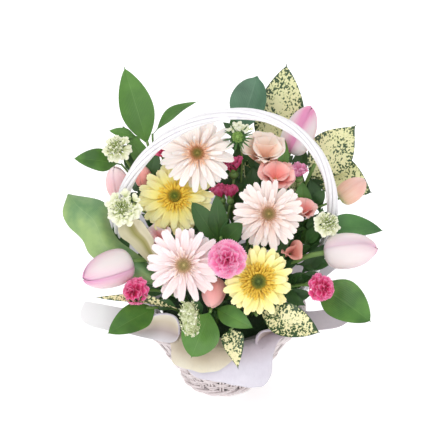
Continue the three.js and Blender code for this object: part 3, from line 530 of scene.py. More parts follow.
white_inside = [(75.6, 70), (77.4, 92), (86, 101), (97, 99)]
cream_inside = [(74.7, 76), (75.4, 95), (85, 107), (99, 104)]
front_hem = [
    (-168, 150, 116), (-160, 160, 110), (-152, 140, 104), (-146, 110, 100), (-139, 98, 97), (-131, 96, 97),
    (-124, 96, 97), (-117, 104, 92), (-106, 110, 75), (-94, 109, 68), (-82, 110, 62), (-68, 112, 58),
    (-62, 110, 66), (-57, 101, 88), (-50, 96, 97), (-42, 96, 97), (-36, 101, 98), (-29, 118, 99),
    (-22, 142, 104), (-14, 160, 122),
]
back_hem = [
    (13, 166, 150), (24, 172, 160), (38, 150, 140), (54, 152, 152), (72, 138, 132), (90, 146, 150),
    (108, 136, 134), (126, 150, 150), (142, 142, 150), (156, 158, 186), (167, 146, 150),
]
cream_hem = [
    (-125, 98, 104), (-121, 105, 100), (-116, 116, 88), (-109, 113, 83), (-101, 112, 80), (-94, 111, 82),
    (-88, 108, 87), (-82, 104, 97),
]
white = (white_inside, white_paper, "white_paper")
paper("paper_white_front", front_hem, *white, (0.42, 0.1), (9, 14), 3)
paper("paper_white_back", back_hem, *white, (0.48, 0.145), (8, 13), 4)
paper("paper_cream", cream_hem, cream_inside, cream_paper, "cream_paper", (0.1, 0.075), (10,), 5)


# Stems: each stands straight in its hole in the foam and bends over to its head, as the solids' stems do.
# Their skin is fresh green, ribbed along, and darker low down.
FAN = mm(3, 0, 98)
FOAM_REACH, STEM_DEPTH, STEM_MOUTH = 0.053, 0.022, 0.005
STEM_RISE, STEM_HEAD = 0.6, 0.014
stem_paths, heads = [], []


def stem_path(head, outward, spread=0.37, shift=(0, 0), reach=0.4, count=16):
    """A straight foot in the foam, then a cubic Bezier curve to the head: its two inner corners lie a reach
    of its length along the lean at the mouth of the hole, and behind the head."""
    entry = (head - FAN) * [1, 1, 0] * spread
    size = np.linalg.norm(entry)
    entry = FAN + entry * min(1, FOAM_REACH / max(size, 1e-6)) + mm(*shift, 0)
    lean = (head - entry) / np.linalg.norm(head - entry) + [0, 0, STEM_RISE]
    lean /= np.linalg.norm(lean)
    foot, mouth = entry - STEM_DEPTH * lean, entry + STEM_MOUTH * lean
    length = np.linalg.norm(head - mouth)
    corners = [mouth, mouth + lean * length * reach, head - outward * length * reach, head]
    t = np.linspace(0, 1, count)[:, None]
    weights = [(1 - t) ** 3, 3 * t * (1 - t) ** 2, 3 * t**2 * (1 - t), t**3]
    stem_paths.append(np.vstack([foot, sum(weight * corner for weight, corner in zip(weights, corners))]))
    heads.append((head, outward, STEM_HEAD))
    return stem_paths[-1]


paint = Paint("stem_green", 0.45)
ribs = paint.grain((14, 2, 1), 3, 2)
tones = paint.ramp(paint.along(), (0, (0.05, 0.1, 0.03)), (0.45, (0.12, 0.22, 0.05)), (1, (0.2, 0.34, 0.09)))
stem_material = paint.finish(paint.mix(ribs, tones, paint.mix(0.5, tones, (0.1, 0.2, 0.04))), ribs, 0.3)


# Gerberas: two full rows of long ray petals, a fringe of short narrow ones and a dome of packed florets.
# Each bloom faces its own way on a stem with a green cup of narrow bracts.
HUB = 0.0055
RAY_START, RAY_RISE = -0.0006, 0.0007
FRINGE_START, FRINGE_RISE = 0.0016, 0.0004
EYE_FLORETS, EYE_RISE, EYE_DOME, EYE_PEG = 120, 0.0018, 0.0028, 0.0022
FLORET_TURN, FLORET_SIDES = 2.39996, 5
BRACTS, GERBERA_NECK = 26, 0.009
GERBERA_CUP = [(-12, 2.8), (-9.5, 3.6), (-7, 5), (-4, 7.2), (-1.9, 8.6), (-1.3, 6)]


def petal_material(name, stops, streak, streaks=9, rough=0.55, relief=0.28, glow=0.25):
    """A soft sheet that reads its colours from its foot to its tip, with fine streaks along it. Each
    petal's own tone makes it a little lighter or darker than its neighbours."""
    paint = Paint(name, rough, glow, (0.003, 0.002, 0.0015), Sheen_Weight=0.08)
    fine = paint.grain((streaks, 0.9, 1), 4, 4, 0.6)
    color = paint.ramp(paint.along(), *stops)
    worn = paint.mix(paint.ramp(fine, (0.42, 0), (0.75, 0.7)), color, streak)
    shaded = paint.mix(paint.times(paint.tone(), 0.15), worn, paint.mix(1.0, worn, color, "MULTIPLY"))
    return paint.finish(shaded, paint.plus(paint.ribs(streaks / 6.28, 0.6), fine), relief, 0.0004)


def axes(rows, columns):
    """v down the rows from 0 to 1, and u across the columns from -1 to 1."""
    return np.linspace(0, 1, rows)[:, None], np.linspace(-1, 1, columns)[None, :]


def lifted(x, y, z, lift):
    """The points turned about y, so that what runs out along x rises by the lift in degrees."""
    rise = math.radians(lift)
    return np.stack([x * math.cos(rise) - z * math.sin(rise), y, x * math.sin(rise) + z * math.cos(rise)], 2)


def strap(length, width, lift, droop=0.0, cup=0.12, twist=0.0, teeth=0.014, foot=0.4, blunt=0.75,
          rows=12, columns=11):
    """A long petal from the origin out along x, upper side up: its half width swells smoothly from the
    foot and then hardly changes, and its end is round with three small teeth. Two shallow grooves run
    along it, and it droops as a power of v. A small `blunt` makes a fine tip."""
    v, u = axes(rows, columns)
    u = np.sin(math.pi / 2 * u)
    swell = np.clip(v / 0.6, 0, 1)
    half = width / 2 * (foot + (1 - foot) * swell**2 * (3 - 2 * swell)) * (1 - (1 - blunt) * v**4)
    end = length * (1 + teeth * np.cos(3 * math.pi * u)) - width / 2 * (1 - np.sqrt(1 - 0.97 * u**2))
    x = v * (length + (end - length) * v**3)
    y = half * u
    z = cup * half * u**2 + 0.08 * half * np.cos(3 * math.pi * u) * np.sin(math.pi * v)
    z = z - droop * length * v**2.2
    y, z = y * np.cos(twist * v) - z * np.sin(twist * v), y * np.sin(twist * v) + z * np.cos(twist * v)
    return lifted(x, y, z, lift)


def spun(points, angle, out=0.0, up=0.0):
    """The points moved out along x and up, and turned round z."""
    x, y, z = points[..., 0] + out, points[..., 1], points[..., 2] + up
    return np.stack([x * np.cos(angle) - y * np.sin(angle), x * np.sin(angle) + y * np.cos(angle), z], -1)


def toned(points):
    """A patch with a shade of its own, drawn at random."""
    return grid(points, tone=rng.random())


def ray_ring(count, hub, radius, width, lift, up, start=0.0, loose=1.0, droop=0.04, droop_low=0.0, **shape):
    """A ring of straps at even angles, each a little off; droop_low lets the lowest ones hang further."""
    ring = []
    for k in range(count):
        angle = 2 * math.pi * (k + start) / count + loose * rng.normal(0, 0.04)
        low = max(0, -math.sin(angle)) ** 2
        reach = (radius - hub) * (1 + loose * rng.normal(0, 0.04))
        petal = strap(reach, width * rng.uniform(0.86, 1.1), lift + loose * rng.normal(0, 3.5),
                      droop + loose * abs(rng.normal(0, 0.05)) + droop_low * low,
                      twist=loose * rng.normal(0, 0.25), **shape)
        ring.append(toned(spun(petal, angle, hub, up + rng.uniform(0, 0.0004))))
    return ring


def facing(head, azimuth, elevation):
    """The frame of a bloom at its head: z out of its face, azimuth from the front to the right."""
    turn = Euler((math.radians(90 - elevation), 0, math.radians(azimuth)), "XYZ").to_matrix()
    return np.array(turn), mm(*head)


def placed(bloom, points):
    """Points of the bloom's own frame, turned and moved to its head."""
    turn, head = bloom
    return points @ turn.T + head


def on_bloom(bloom, patches):
    """The patches, each placed on the bloom."""
    return [(placed(bloom, points), *rest) for points, *rest in patches]


def disc_florets(radius, dome, count, height):
    """Small pegs on a sunflower's spiral, whose radius goes with the root of the count, over a dome that
    is a sine of that radius. The outer ones are taller and lean outwards."""
    florets = []
    for k in range(count):
        share = math.sqrt((k + 0.5) / count)
        angle = k * FLORET_TURN
        foot = around(radius * share, angle, dome * math.sin(math.pi * min(1, share * 0.62 + 0.1)))
        tall = height * (0.55 + 0.7 * share) * rng.uniform(0.85, 1.15)
        lean = around(0.25 + 0.35 * share, angle, 0)
        path = [foot, foot + (lean * 0.4 + [0, 0, 1]) * tall * 0.6, foot + (lean + [0, 0, 1]) * tall]
        size = radius / math.sqrt(count)
        florets.append(tube(path, [size * 0.7, size * 0.8, size * 0.45], FLORET_SIDES, tone=share))
    return florets


def mound(radius, height, sides, low=0.0):
    """A dome under the florets: its radius goes with the root of 1.02 less its height's square."""
    share = np.linspace(0, 1, 6)
    return tube(around(0, 0, low + height * share), radius * np.sqrt(1.02 - share**2), sides)


def revolved(profile, sides):
    """A body of revolution through the profile's (height, radius), in millimetres."""
    height, radius = mm(*profile).T
    return tube(around(0, 0, height), radius, sides)


def bloom_stem(bloom, radius, back, **way):
    """The path of a stem that ends behind a bloom's face, noted for the small leaves to keep clear."""
    outward = bloom[0] @ [0, 0, 1]
    heads.append((bloom[1], outward, radius))
    return stem_path(bloom[1] - outward * back, outward, **way)


def gerbera(name, head, azimuth, elevation, radius, colors, rows, threads, eye=0.0066, droop_low=0.0):
    """Rows are (count, share of the radius, width in shares of it, lift), from the lowest to the highest;
    threads are the fringe's, as (count, start and end in shares of the radius, width, lift)."""
    bloom = facing(head, azimuth, elevation)
    petals, streak, eye_stops, fringe_stops = colors
    r = radius / 1000
    rays = []
    for k, (count, share, width, lift) in enumerate(rows):
        up = RAY_START + RAY_RISE * k
        rays += ray_ring(count, HUB, share * r, width * r, lift, up, start=0.5 * k, droop_low=droop_low)
    material = petal_material(name + "_ray", petals, streak)
    piece(name + "_rays", on_bloom(bloom, rays), material, [name + "_petals"])

    paint = Paint(name + "_eye", 0.75)
    grain = paint.cloud(900, 2)
    color = paint.ramp(paint.tone(), *eye_stops)
    dark = paint.mix(paint.ramp(grain, (0.35, 0), (0.6, 1)), (0.1, 0.085, 0.03), color)
    eye_material = paint.finish(paint.mix(0.8, dark, color), grain, 0.4)
    dome = disc_florets(eye, EYE_DOME, EYE_FLORETS, EYE_PEG) + [mound(1.03 * eye, 0.0022, 16, 0.0005)]
    dome = [(p + [0, 0, EYE_RISE], *rest) for p, *rest in dome]
    piece(name + "_disc", on_bloom(bloom, dome), eye_material, [name + "_eye"])

    fringe = []
    for k, (count, start, end, width, lift) in enumerate(threads):
        fringe += ray_ring(count, start * r, end * r, width, lift, FRINGE_START + FRINGE_RISE * k,
                           start=0.4 * k, droop=0.25, loose=1.5, teeth=0.05, rows=6, columns=5)
    fringe_material = petal_material(name + "_fringe", fringe_stops, fringe_stops[-1][1], 3)
    piece(name + "_fringe", on_bloom(bloom, fringe), fringe_material)

    green = [revolved(GERBERA_CUP, 16)]
    for k in range(BRACTS):
        bract = strap(0.0085, 0.0022, 58 + 10 * (k % 2), cup=0.3, blunt=0.3, rows=6, columns=4)
        bract = spun(bract, 2 * math.pi * k / BRACTS, 0.0042 + 0.001 * (k % 2), -0.0095)
        green.append(toned(bract))
    stem = tube(bloom_stem(bloom, r, GERBERA_NECK), 0.0024, 10)
    piece(name + "_stalk", on_bloom(bloom, green) + [stem], stem_material, [name + "_stem"])


SINGLE = [(14, 0.96, 0.25, -3), (14, 1.0, 0.24, 2), (10, 0.7, 0.13, 9), (9, 0.5, 0.09, 14)]
DOUBLE = [(14, 0.97, 0.3, -3), (14, 1.0, 0.29, 2), (14, 0.88, 0.25, 6)]
PALE_THREADS = [(30, 0.14, 0.38, 0.0016, 26), (28, 0.14, 0.3, 0.0014, 50)]
GOLD_THREADS = [(40, 0.36, 0.55, 0.0025, 20), (38, 0.3, 0.49, 0.0024, 32), (36, 0.24, 0.43, 0.0022, 42),
                (30, 0.18, 0.36, 0.002, 54)]
NARROW_THREADS = [(34, 0.24, 0.46, 0.0022, 24), (32, 0.19, 0.4, 0.0021, 38), (28, 0.15, 0.33, 0.0019, 52)]
gerbera("gerbera_apricot", (-26, 20, 271), 0, 32, 39, (
    [(0, "f3a67a"), (0.13, "fbd0b6"), (0.34, "feece3"), (1, "fffaf7")], "fde6dc",
    [(0, "8f9a48"), (0.5, "a08a44"), (0.85, "c98f5c")],
    [(0, "e89a68"), (0.6, "f6c09a"), (1, "fbd9c0")]), SINGLE, PALE_THREADS, 0.006)
gerbera("gerbera_yellow_left", (-50, 9, 224), -8, 48, 40, (
    [(0, "f0bf28"), (0.25, "fbdb55"), (0.5, "fdec86"), (1, "fffacb")], "fdee9c",
    [(0, "75862e"), (0.5, "84902c"), (0.85, "b8a22e")],
    [(0, "cf9a18"), (0.5, "f4c632"), (1, "fbdc54")]), DOUBLE, NARROW_THREADS, 0.0056, 0.16)
gerbera("gerbera_blush", (48, -28, 224), 12, 36, 38, (
    [(0, "f0b496"), (0.18, "fad7c8"), (0.5, "fde9e2"), (1, "fff6f3")], "fadccf",
    [(0, "9c9a58"), (0.5, "b49a5e"), (0.85, "d2a884")],
    [(0, "e6b08c"), (0.6, "f4ccb4"), (1, "fae0d4")]), SINGLE, PALE_THREADS, 0.0066)
gerbera("gerbera_pink", (-39, -71, 189), -6, 22, 40, (
    [(0, "f0c0aa"), (0.16, "f9d8d0"), (0.45, "fde4e3"), (1, "fff3f3")], "f9d9d9",
    [(0, "a8a468"), (0.5, "c0aa70"), (0.85, "dcb894")],
    [(0, "eabf9e"), (0.6, "f6d6c6"), (1, "fbe6e0")]), SINGLE, PALE_THREADS, 0.0072, 0.05)
gerbera("gerbera_yellow_front", (37, -85, 178), 6, 24, 36, (
    [(0, "f0c22c"), (0.25, "f9de5e"), (0.6, "fdee96"), (1, "fff8c4")], "fae67c",
    [(0, "5a6e38"), (0.5, "64762f"), (0.85, "9c9a34")],
    [(0, "b8861a"), (0.5, "e2b42e"), (1, "f0cd48")]), DOUBLE, GOLD_THREADS, 0.0068)


# Carnations: full heads of frilled, saw-edged petals that rise tier by tier into a crumpled middle.
# Each has a green calyx of joined sepals on a thin grey-green stem.
FRILL_RISE, CALYX_WIDTH, CARNATION_NECK = 0.0026, 0.16, 0.01295
FRILL_TIERS = [(5, 2, 1.0), (5, 15, 1.0), (5, 30, 0.97), (5, 46, 0.9), (4, 62, 0.82), (4, 78, 0.74)]
HOT_PINK = [(0, "de2f74"), (0.4, "f0609f"), (0.8, "f98fc2"), (1, "fdcfe4")]
DEEP_PINK = [(0, "c0144f"), (0.5, "e23a7c"), (0.85, "f268a5"), (1, "faaed0")]


def frilled(length, spread, lift, ruffle, rows=9, columns=25):
    """A fan of rays: they are shorter to the sides, saw-toothed at the edge, and rise and fall by two
    sines of u that grow with the square of v."""
    v, u = axes(rows, columns)
    waves, start = rng.uniform(1.5, 2.6), rng.uniform(0, 6)
    saw = 0.03 * np.where(np.arange(columns) % 2, 1, -1)[None, :] * v**10
    reach = length * v * (1 - 0.13 * u**2 + 0.04 * np.sin(2 * u + start)) + length * saw
    angle = math.radians(spread / 2) * u * (0.35 + 0.65 * v)
    wave = np.sin(waves * math.pi * u + start) + 0.35 * np.sin(2.7 * waves * u + 2 * start)
    return lifted(reach * np.cos(angle), reach * np.sin(angle), ruffle * length * v**2 * wave, lift)


def frilled_head(radius):
    """Tiers of (count, lift, share of the radius), each a little higher than the one below."""
    head = []
    for tier, (count, lift, share) in enumerate(FRILL_TIERS):
        for k in range(count):
            angle = 2 * math.pi * (k + 0.5 * (tier % 2)) / count + rng.normal(0, 0.1)
            petal = frilled(radius * share * rng.uniform(0.93, 1.04), 82, lift + rng.normal(0, 5), 0.12)
            head.append(toned(spun(petal, angle, 0, FRILL_RISE * tier)))
    return head


def crown(count, blade, out, up):
    """Copies of a blade at even angles round the axis, moved out and up."""
    return [toned(spun(blade, 2 * math.pi * k / count, out, up)) for k in range(count)]


def carnation(name, head, azimuth, elevation, radius, stops, streak, slot, shift=(0, 0), tall=1.0):
    """A frilled head, `tall` times as high as it is wide, on a calyx that widens with its radius."""
    bloom = facing(head, azimuth, elevation)
    r, top = radius / 1000, CALYX_WIDTH * radius
    material = petal_material(name + "_petal", stops, streak, 12, relief=0.25)
    frills = [(p * [1, tall, 1], *rest) for p, *rest in frilled_head(r)]
    piece(name + "_frills", on_bloom(bloom, frills), material, [name + "_petals"])
    calyx = [(-15, 1.9), (-13, 2.4), (-10, 0.8 * top + 1.5), (-5, top + 0.3), (-1.4, top + 0.1)]
    green = [revolved(calyx, 14)]
    green += crown(5, strap(0.0052, 0.0034, 78, cup=0.3, rows=6, columns=5), (top + 0.1) / 1000, -0.0055)
    stem = tube(bloom_stem(bloom, r, CARNATION_NECK, shift=shift), 0.0016, 8)
    piece(name + "_stalk", on_bloom(bloom, green) + [stem], stem_material, [name + "_stem"])


deep = (13.5, DEEP_PINK, "ee5a98", "carnation_deep")
carnation("carnation_centre", (5, -88, 207), 3, 28, 20.5, HOT_PINK, "fa9cc8", "carnation_pink")
carnation("carnation_left", (-87, -72, 157), -30, 25, *deep, (6, -8), 1.14)
carnation("carnation_right", (100, -72, 162), 35, 20, *deep, (-4, -6), 1.14)


# Buds: long green calyxes with a tuft of pink petals pushing out, on short branches.
# Four of them share a stem, and the one on the right has a stem of its own.
BUD_SHARES, BUD_GIRTHS = np.array([0, 0.05, 0.14, 0.24, 0.36]), np.array([0.4, 0.62, 0.9, 0.86, 0.6])
NEXT_PETAL = 2.4


def pointing(foot, tip):
    """A frame at the foot whose z runs to the tip."""
    way = Vector(tip) - Vector(foot)
    return np.array(way.to_track_quat("Z", "Y").to_matrix()), np.array(foot, float)


def between(foot, tip):
    """The frame from the foot to the tip and the length between them, from places in millimetres."""
    foot, tip = mm(*foot), mm(*tip)
    return pointing(foot, tip), np.linalg.norm(tip - foot)


def bud(foot, tip, radius, full=1.0):
    """The green parts and the petals of one bud; places in millimetres. A `full` one opens wider."""
    bloom, length = between(foot, tip)
    r = radius / 1000
    green = [tube(around(0, 0, BUD_SHARES * length), r * BUD_GIRTHS, 12)]
    green += crown(5, strap(0.26 * length, 0.9 * r, 74, cup=0.3, rows=6, columns=5), 0.7 * r, 0.24 * length)
    tuft = []
    for k in range(11):
        reach = 0.8 * length * rng.uniform(0.85, 1)
        petal = frilled(reach, 60, 82 - 16 * full * (k % 3) / 2, 0.08, columns=15, rows=7)
        tuft.append(toned(spun(petal, NEXT_PETAL * k, 0.3 * r, 0.22 * length)))
    return on_bloom(bloom, green), on_bloom(bloom, tuft)


def twig(start, end, radius=0.0013):
    """A short branch that sags as a sine, by a twentieth of its length."""
    t = np.linspace(0, 1, 7)[:, None]
    sag = np.linalg.norm(end - start) * 0.05 * np.sin(math.pi * t) * [0, 0, 1]
    return tube(start + (end - start) * t - sag, radius, 7)


def rounded(path, radius, sides):
    """A rod along the curve through the path's points; the radius is in millimetres."""
    return tube(through(path, 20, 40), radius / 1000, sides)


def unit(*values):
    """The direction of the values, one unit long."""
    values = np.array(values, float)
    return values / np.linalg.norm(values)


bud_pink = [(0, "b8204e"), (0.6, "dc3f78"), (1, "f37cae")]
bud_petal = petal_material("carnation_bud_petal", bud_pink, "e85a92", 8)
main = stem_path(mm(2, 16, 214), unit(0, -0.2, 1), shift=(-3, 12), count=7)
green, tufts = [rounded(main, 1.6, 8)], []
for joint, foot, tip, radius, full in (
    (7, (2, 16, 212), (-5, 19, 234), 4.5, 1.0), (5, (9, 12, 213), (9, 19, 234), 4.5, 1.4),
    (4, (13, 34, 233), (12, 38, 258), 6, 1.6), (3, (-60, 44, 249), (-66, 42, 268), 4.5, 1.4),
):
    if joint < 7:
        green.append(twig(main[joint], mm(*foot)))
    cup, petals = bud(foot, tip, radius, full)
    green += cup
    tufts += petals
piece("carnation_buds_green", green, stem_material, ["carnation_buds"])
piece("carnation_buds_tufts", tufts, bud_petal)

pale_pink = [(0, "d25a94"), (0.6, "ec8cba"), (1, "f8c4dc")]
pale_petal = petal_material("carnation_bud_right_petal", pale_pink, "f0a0c8", 8)
cup, petals = bud((82, 31, 231), (82, 27, 254), 6)
green = [tube(stem_path(mm(82, 31, 232), unit(0, 0, 1), shift=(0, -9)), 0.0015, 8)] + cup
piece("carnation_bud_right_green", green, stem_material, ["carnation_bud_right"])
piece("carnation_bud_right_tuft", petals, pale_petal)


# Tulips: three outer and three inner petals, each lapped over the next, white flushed with pink towards
# the edges and the tip. Their broad leaves are waxy and lie open in long waves; one has withered.
TULIP_OUTLINE = [(0, 0), (0.5, 0.015), (0.88, 0.13), (1, 0.33), (0.97, 0.53), (0.83, 0.72), (0.58, 0.87),
                 (0.3, 0.965), (0.06, 1.0)]


def leaf(foot, tip, width, face=(0, -0.7, 0.7), bow=5, fold=0.2, sway=0, stalk=0.12, wave=0.012,
         fullest=0.42, blunt=0.8, rows=30, columns=15):
    """A blade whose half width rises as a sine to its fullest place and falls as a cosine to its tip. It
    bows up as a sine of v, folds up with u squared, and waves along its edges; its upper side is towards
    the face, and a rib is sunk along its middle."""
    foot, tip = mm(*foot), mm(*tip)
    v, u = axes(rows, columns)
    along = tip - foot
    side = unit(*np.cross(along, face))
    up = unit(*np.cross(side, along))
    share = np.clip((v - stalk) / (1 - stalk), 0, 1)
    body = np.clip(share / 0.96, 0, 1)
    below = np.sin(math.pi / 2 * np.clip(body / fullest, 0, 1)) ** 0.9
    above = np.cos(math.pi / 2 * np.clip((body - fullest) / (1 - fullest), 0, 1)) ** blunt
    half = width / 2000 * np.maximum(below * above, 0.6 * np.clip(1 - share, 0, 1) * (share > 0.86))
    half = np.maximum(half, 0.0009 * (1 - v))
    start = rng.uniform(0, 6, 2)
    length = np.linalg.norm(along)
    across = u * half + sway / 1000 * np.sin(math.pi * v)
    rise = bow / 1000 * np.sin(math.pi * v) + fold * (u**2 * (1.6 - 0.6 * np.abs(u))) * half
    edge = np.where(u < 0, np.sin(9 * v + start[0]), np.sin(8 * v + start[1]))
    rise = rise + wave * length * edge * np.abs(u) ** 3 * np.sin(math.pi * share)
    rise = rise - 0.0005 * np.exp(-((u / 0.08) ** 2)) * (share > 0)
    return toned(foot + along * v[..., None] + across[..., None] * side + rise[..., None] * up)


def edged_leaf(left, right, bulge):
    """A blade between two curves, each through places from its foot to its tip, straight across but for a
    bulge that is a sine both ways."""
    v, u = np.linspace(0, 1, 36)[:, None, None], np.linspace(0, 1, 17)[None, :, None]
    edges = [through(mm(*edge), len(v), 80)[:, None] for edge in (left, right)]
    points = edges[0] * (1 - u) + edges[1] * u
    swell = np.sin(math.pi * u) * np.sin(math.pi * v) ** 0.5
    return toned(points + mm(*bulge) * swell)


def leaf_material(name, deep, fresh, rib, veins, rough, rib_width=0.014):
    """A glossy leaf, deep green to fresh in a cloud, with a pale rib and fine veins that run along it."""
    paint = Paint(name, rough, Specular_IOR_Level=0.4, Coat_Weight=0.12, Coat_Roughness=0.4)
    cloud = paint.ramp(paint.cloud(38, 3), (0.35, 0), (0.65, 1))
    body = paint.mix(paint.times(paint.tone(), 0.6), paint.mix(cloud, deep, fresh), fresh)
    lines = paint.ribs(veins, 0.5)
    veined = paint.mix(paint.times(lines, 0.1), body, rib)
    on_rib = paint.ramp(paint.from_rib(), (rib_width * 0.4, 1), (rib_width, 0))
    color = paint.mix(paint.times(on_rib, 0.22), veined, rib)
    return paint.finish(color, paint.plus(lines, paint.times(cloud, 0.8)), 0.25, 0.0005)


def tulip_material(name, strength, rim):
    """White, then pink by the power of the distance from the rib and of v, feathered along the petal."""
    paint = Paint(name, 0.42, 0.25, (0.004, 0.0025, 0.002), Sheen_Weight=0.1)
    feather = paint.grain((16, 1.1, 1), 3, 4, 0.65)
    at_edge = paint.times(paint.math("POWER", paint.from_rib(), 1.6), 2.4)
    flush = paint.plus(at_edge, paint.math("POWER", paint.along(), 4))
    blush = paint.times(paint.times(flush, paint.plus(feather, 0.3)), strength)
    petal = paint.ramp(blush, (0.04, "e6dbd9"), (0.4, "e6c4cf"), (0.9, rim))
    base = paint.ramp(paint.along(), (0.02, "e3e6b4"), (0.16, 1))
    return paint.finish(paint.mix(1.0, petal, base, "MULTIPLY"), feather, 0.25, 0.0005)


def tulip_petals(length, radius, lap=0.05):
    """Six petals round an egg, whose outline gives the radius at each height. Each narrows towards its
    point, and its radius grows across it, so that one edge lies outside its neighbour's."""
    profile = spline([(0, r, z) for r, z in TULIP_OUTLINE], np.linspace(0, 1, 22))
    v, u = axes(22, 19)
    petals = []
    for k in range(6):
        outer = k % 2
        out, up = profile[:, 1:2] * (1.02 if outer else 0.93 + 0.06 * v**4), profile[:, 2:3]
        wide = math.radians(72 if outer else 66) * (1 - 0.3 * v**6)
        angle = 2 * math.pi * k / 6 + u * wide + 0.04 * np.sin(5 * v + k)
        fold = 1 + lap * u * (1 - 0.75 * v) - 0.05 * u**2 * (1 - v) + 0.02 * np.cos(3 * u + k) * v
        flare = 0.08 * np.clip(v - 0.75, 0, 1) * outer * (1 - u**2)
        r = radius * (out * fold + flare - 0.02 * np.exp(-((u / 0.12) ** 2)) * v)
        z = length * (up * (rng.uniform(0.97, 1.02) if outer else 0.96) - 0.04 * u**2 * v**3)
        petals.append(toned(around(r, angle, z)))
    return petals


def tulip(name, foot, tip, radius, strength, rim, shift=(0, 0), blades=()):
    """A cup from its foot to its tip, its stem from below, and the blades that are its leaves."""
    bloom, length = between(foot, tip)
    cup = on_bloom(bloom, tulip_petals(length, radius / 1000))
    piece(name + "_cup", cup, tulip_material(name + "_petal", strength, rim), [name + "_petals"])
    outward = bloom[0] @ [0, 0, 1]
    path = stem_path(bloom[1] - outward * 0.0002, outward, shift=shift, count=7)
    piece(name + "_stalk", [rounded(path, 2.8, 10)], stem_material, [name + "_stem"])
    for part, blade, blade_material in blades:
        piece(name + part, [blade], blade_material)


paint = Paint("tulip_old_leaf", 0.5, Specular_IOR_Level=0.3)
veins = paint.grain((22, 1.2, 1), 3, 3)
withered = paint.ramp(paint.across(), (0.2, "dedabf"), (0.4, "93934f"), (0.54, "b3aa78"), (0.62, "f2ebd6"))
dull_leaf = paint.finish(paint.mix(paint.times(veins, 0.35), withered, "c3b68e"), veins, 0.3)
waxy_leaf = leaf_material("tulip_leaf", "578557", "9ab673", "b0c890", 9, 0.4, 0.01)
green_leaf = leaf_material("tulip_green_leaf", "2f5e2c", "4b7f3c", "7ea566", 9, 0.4, 0.01)
tulip("tulip_left", (-95, -48, 178), (-144, -74, 173), 19, 1.15, "d894b8", blades=[
    ("_leaf", edged_leaf(
        [(-56, -46, 142), (-100, -48, 160), (-139, -36, 179), (-148, -23, 190), (-164, -10, 200),
         (-170, 0, 210), (-165, 14, 225)],
        [(-50, -44, 144), (-66, -44, 160), (-90, -34, 180), (-110, -22, 190), (-119, -8, 201),
         (-124, 6, 218), (-163, 14, 225)], (4, -12, 6)), waxy_leaf),
    ("_old_leaf", edged_leaf(
        [(-70, -50, 170), (-84, -50, 187), (-97, -43, 198), (-106, -38, 203), (-109, -31, 211),
         (-104, -27, 217)],
        [(-62, -50, 174), (-70, -48, 194), (-72, -42, 203), (-78, -36, 211), (-84, -30, 217),
         (-92, -26, 218)], (3, 12, -7)), dull_leaf)])
tulip("tulip_right", (109, -36, 182), (162, -48, 195), 18.5, 0.6, "e8b0cc", blades=[
    ("_leaf", leaf((100, -14, 200), (174, -3, 189), 25, (0, -0.6, 0.8), 9, 0.25, stalk=0.04), green_leaf)])
tulip("tulip_back", (73, 58, 252), (98, 79, 297), 17, 1.9, "e08cb4", shift=(14, 12))


# Scabiosas: lacy heads of cream florets, the outer ones wide and lobed, round a green middle of closed ones.
# A star of bracts and a drooping head of buds are the same flower before and after it opens.
SMALL_FLORETS, CLOSED_FLORETS, STAMENS, SEEDS = 26, 34, 30, 46
paint = Paint("scabiosa_cream", 0.6, 0.2, (0.003, 0.003, 0.002))
mottle = paint.cloud(500, 3)
heart = paint.ramp(paint.along(), (0.05, "c2d07c"), (0.45, "f1f3cd"), (1, "fafae6"))
scabiosa_cream = paint.finish(paint.mix(paint.times(mottle, 0.3), heart, "e3e6c0"), mottle, 0.3)
scabiosa_green = speckle(
    "scabiosa_green", 0.6, (800, 2), 0.4, (0.36, "5c6a2e"), (0.5, "a3b565"), (0.7, "cfd79a"))
stamen_material = speckle("scabiosa_stamen", 0.6, (900, 2), 0.3, (0.4, "5d6e38"), (0.65, "b4bf74"))
fresh_green = speckle("scabiosa_button", 0.6, (700, 2), 0.4, (0.36, "6f9440"), (0.65, "a8cc70"))
bract_green = leaf_material("scabiosa_bract", "2f4f28", "4a7038", "6a8c50", 3, 0.5)


def lobe(length, width, lift):
    """A round lobe on a narrow foot, out along x: its half width grows as a sine of v, its end is an arc
    in u, and sines of u ruffle it."""
    v, u = axes(7, 9)
    u = np.sin(math.pi / 2 * u)
    start = rng.uniform(0, 6)
    half = width / 2 * (0.22 + 0.78 * np.sin(math.pi / 2 * v) ** 1.3)
    x = length * v * (1 - 0.3 * (1 - np.sqrt(1 - 0.96 * u**2)) * v**2 + 0.03 * np.sin(5 * u + start) * v**6)
    z = 0.13 * width * np.sin(3.5 * u + start) * v**2 + 0.15 * width * u**2 * v - 0.12 * length * v**3
    return lifted(x, half * u, z, lift)


def floret(size, lift, lobes, spread):
    """Lobes side by side like a hand, the middle one the longest."""
    parts = []
    for k in range(lobes):
        off = k - (lobes - 1) / 2
        reach = size * (1 - 0.16 * abs(off)) * rng.uniform(0.88, 1.08)
        parts.append(spun(lobe(reach, 0.58 * size, lift + rng.normal(0, 9)), spread * off))
    return parts


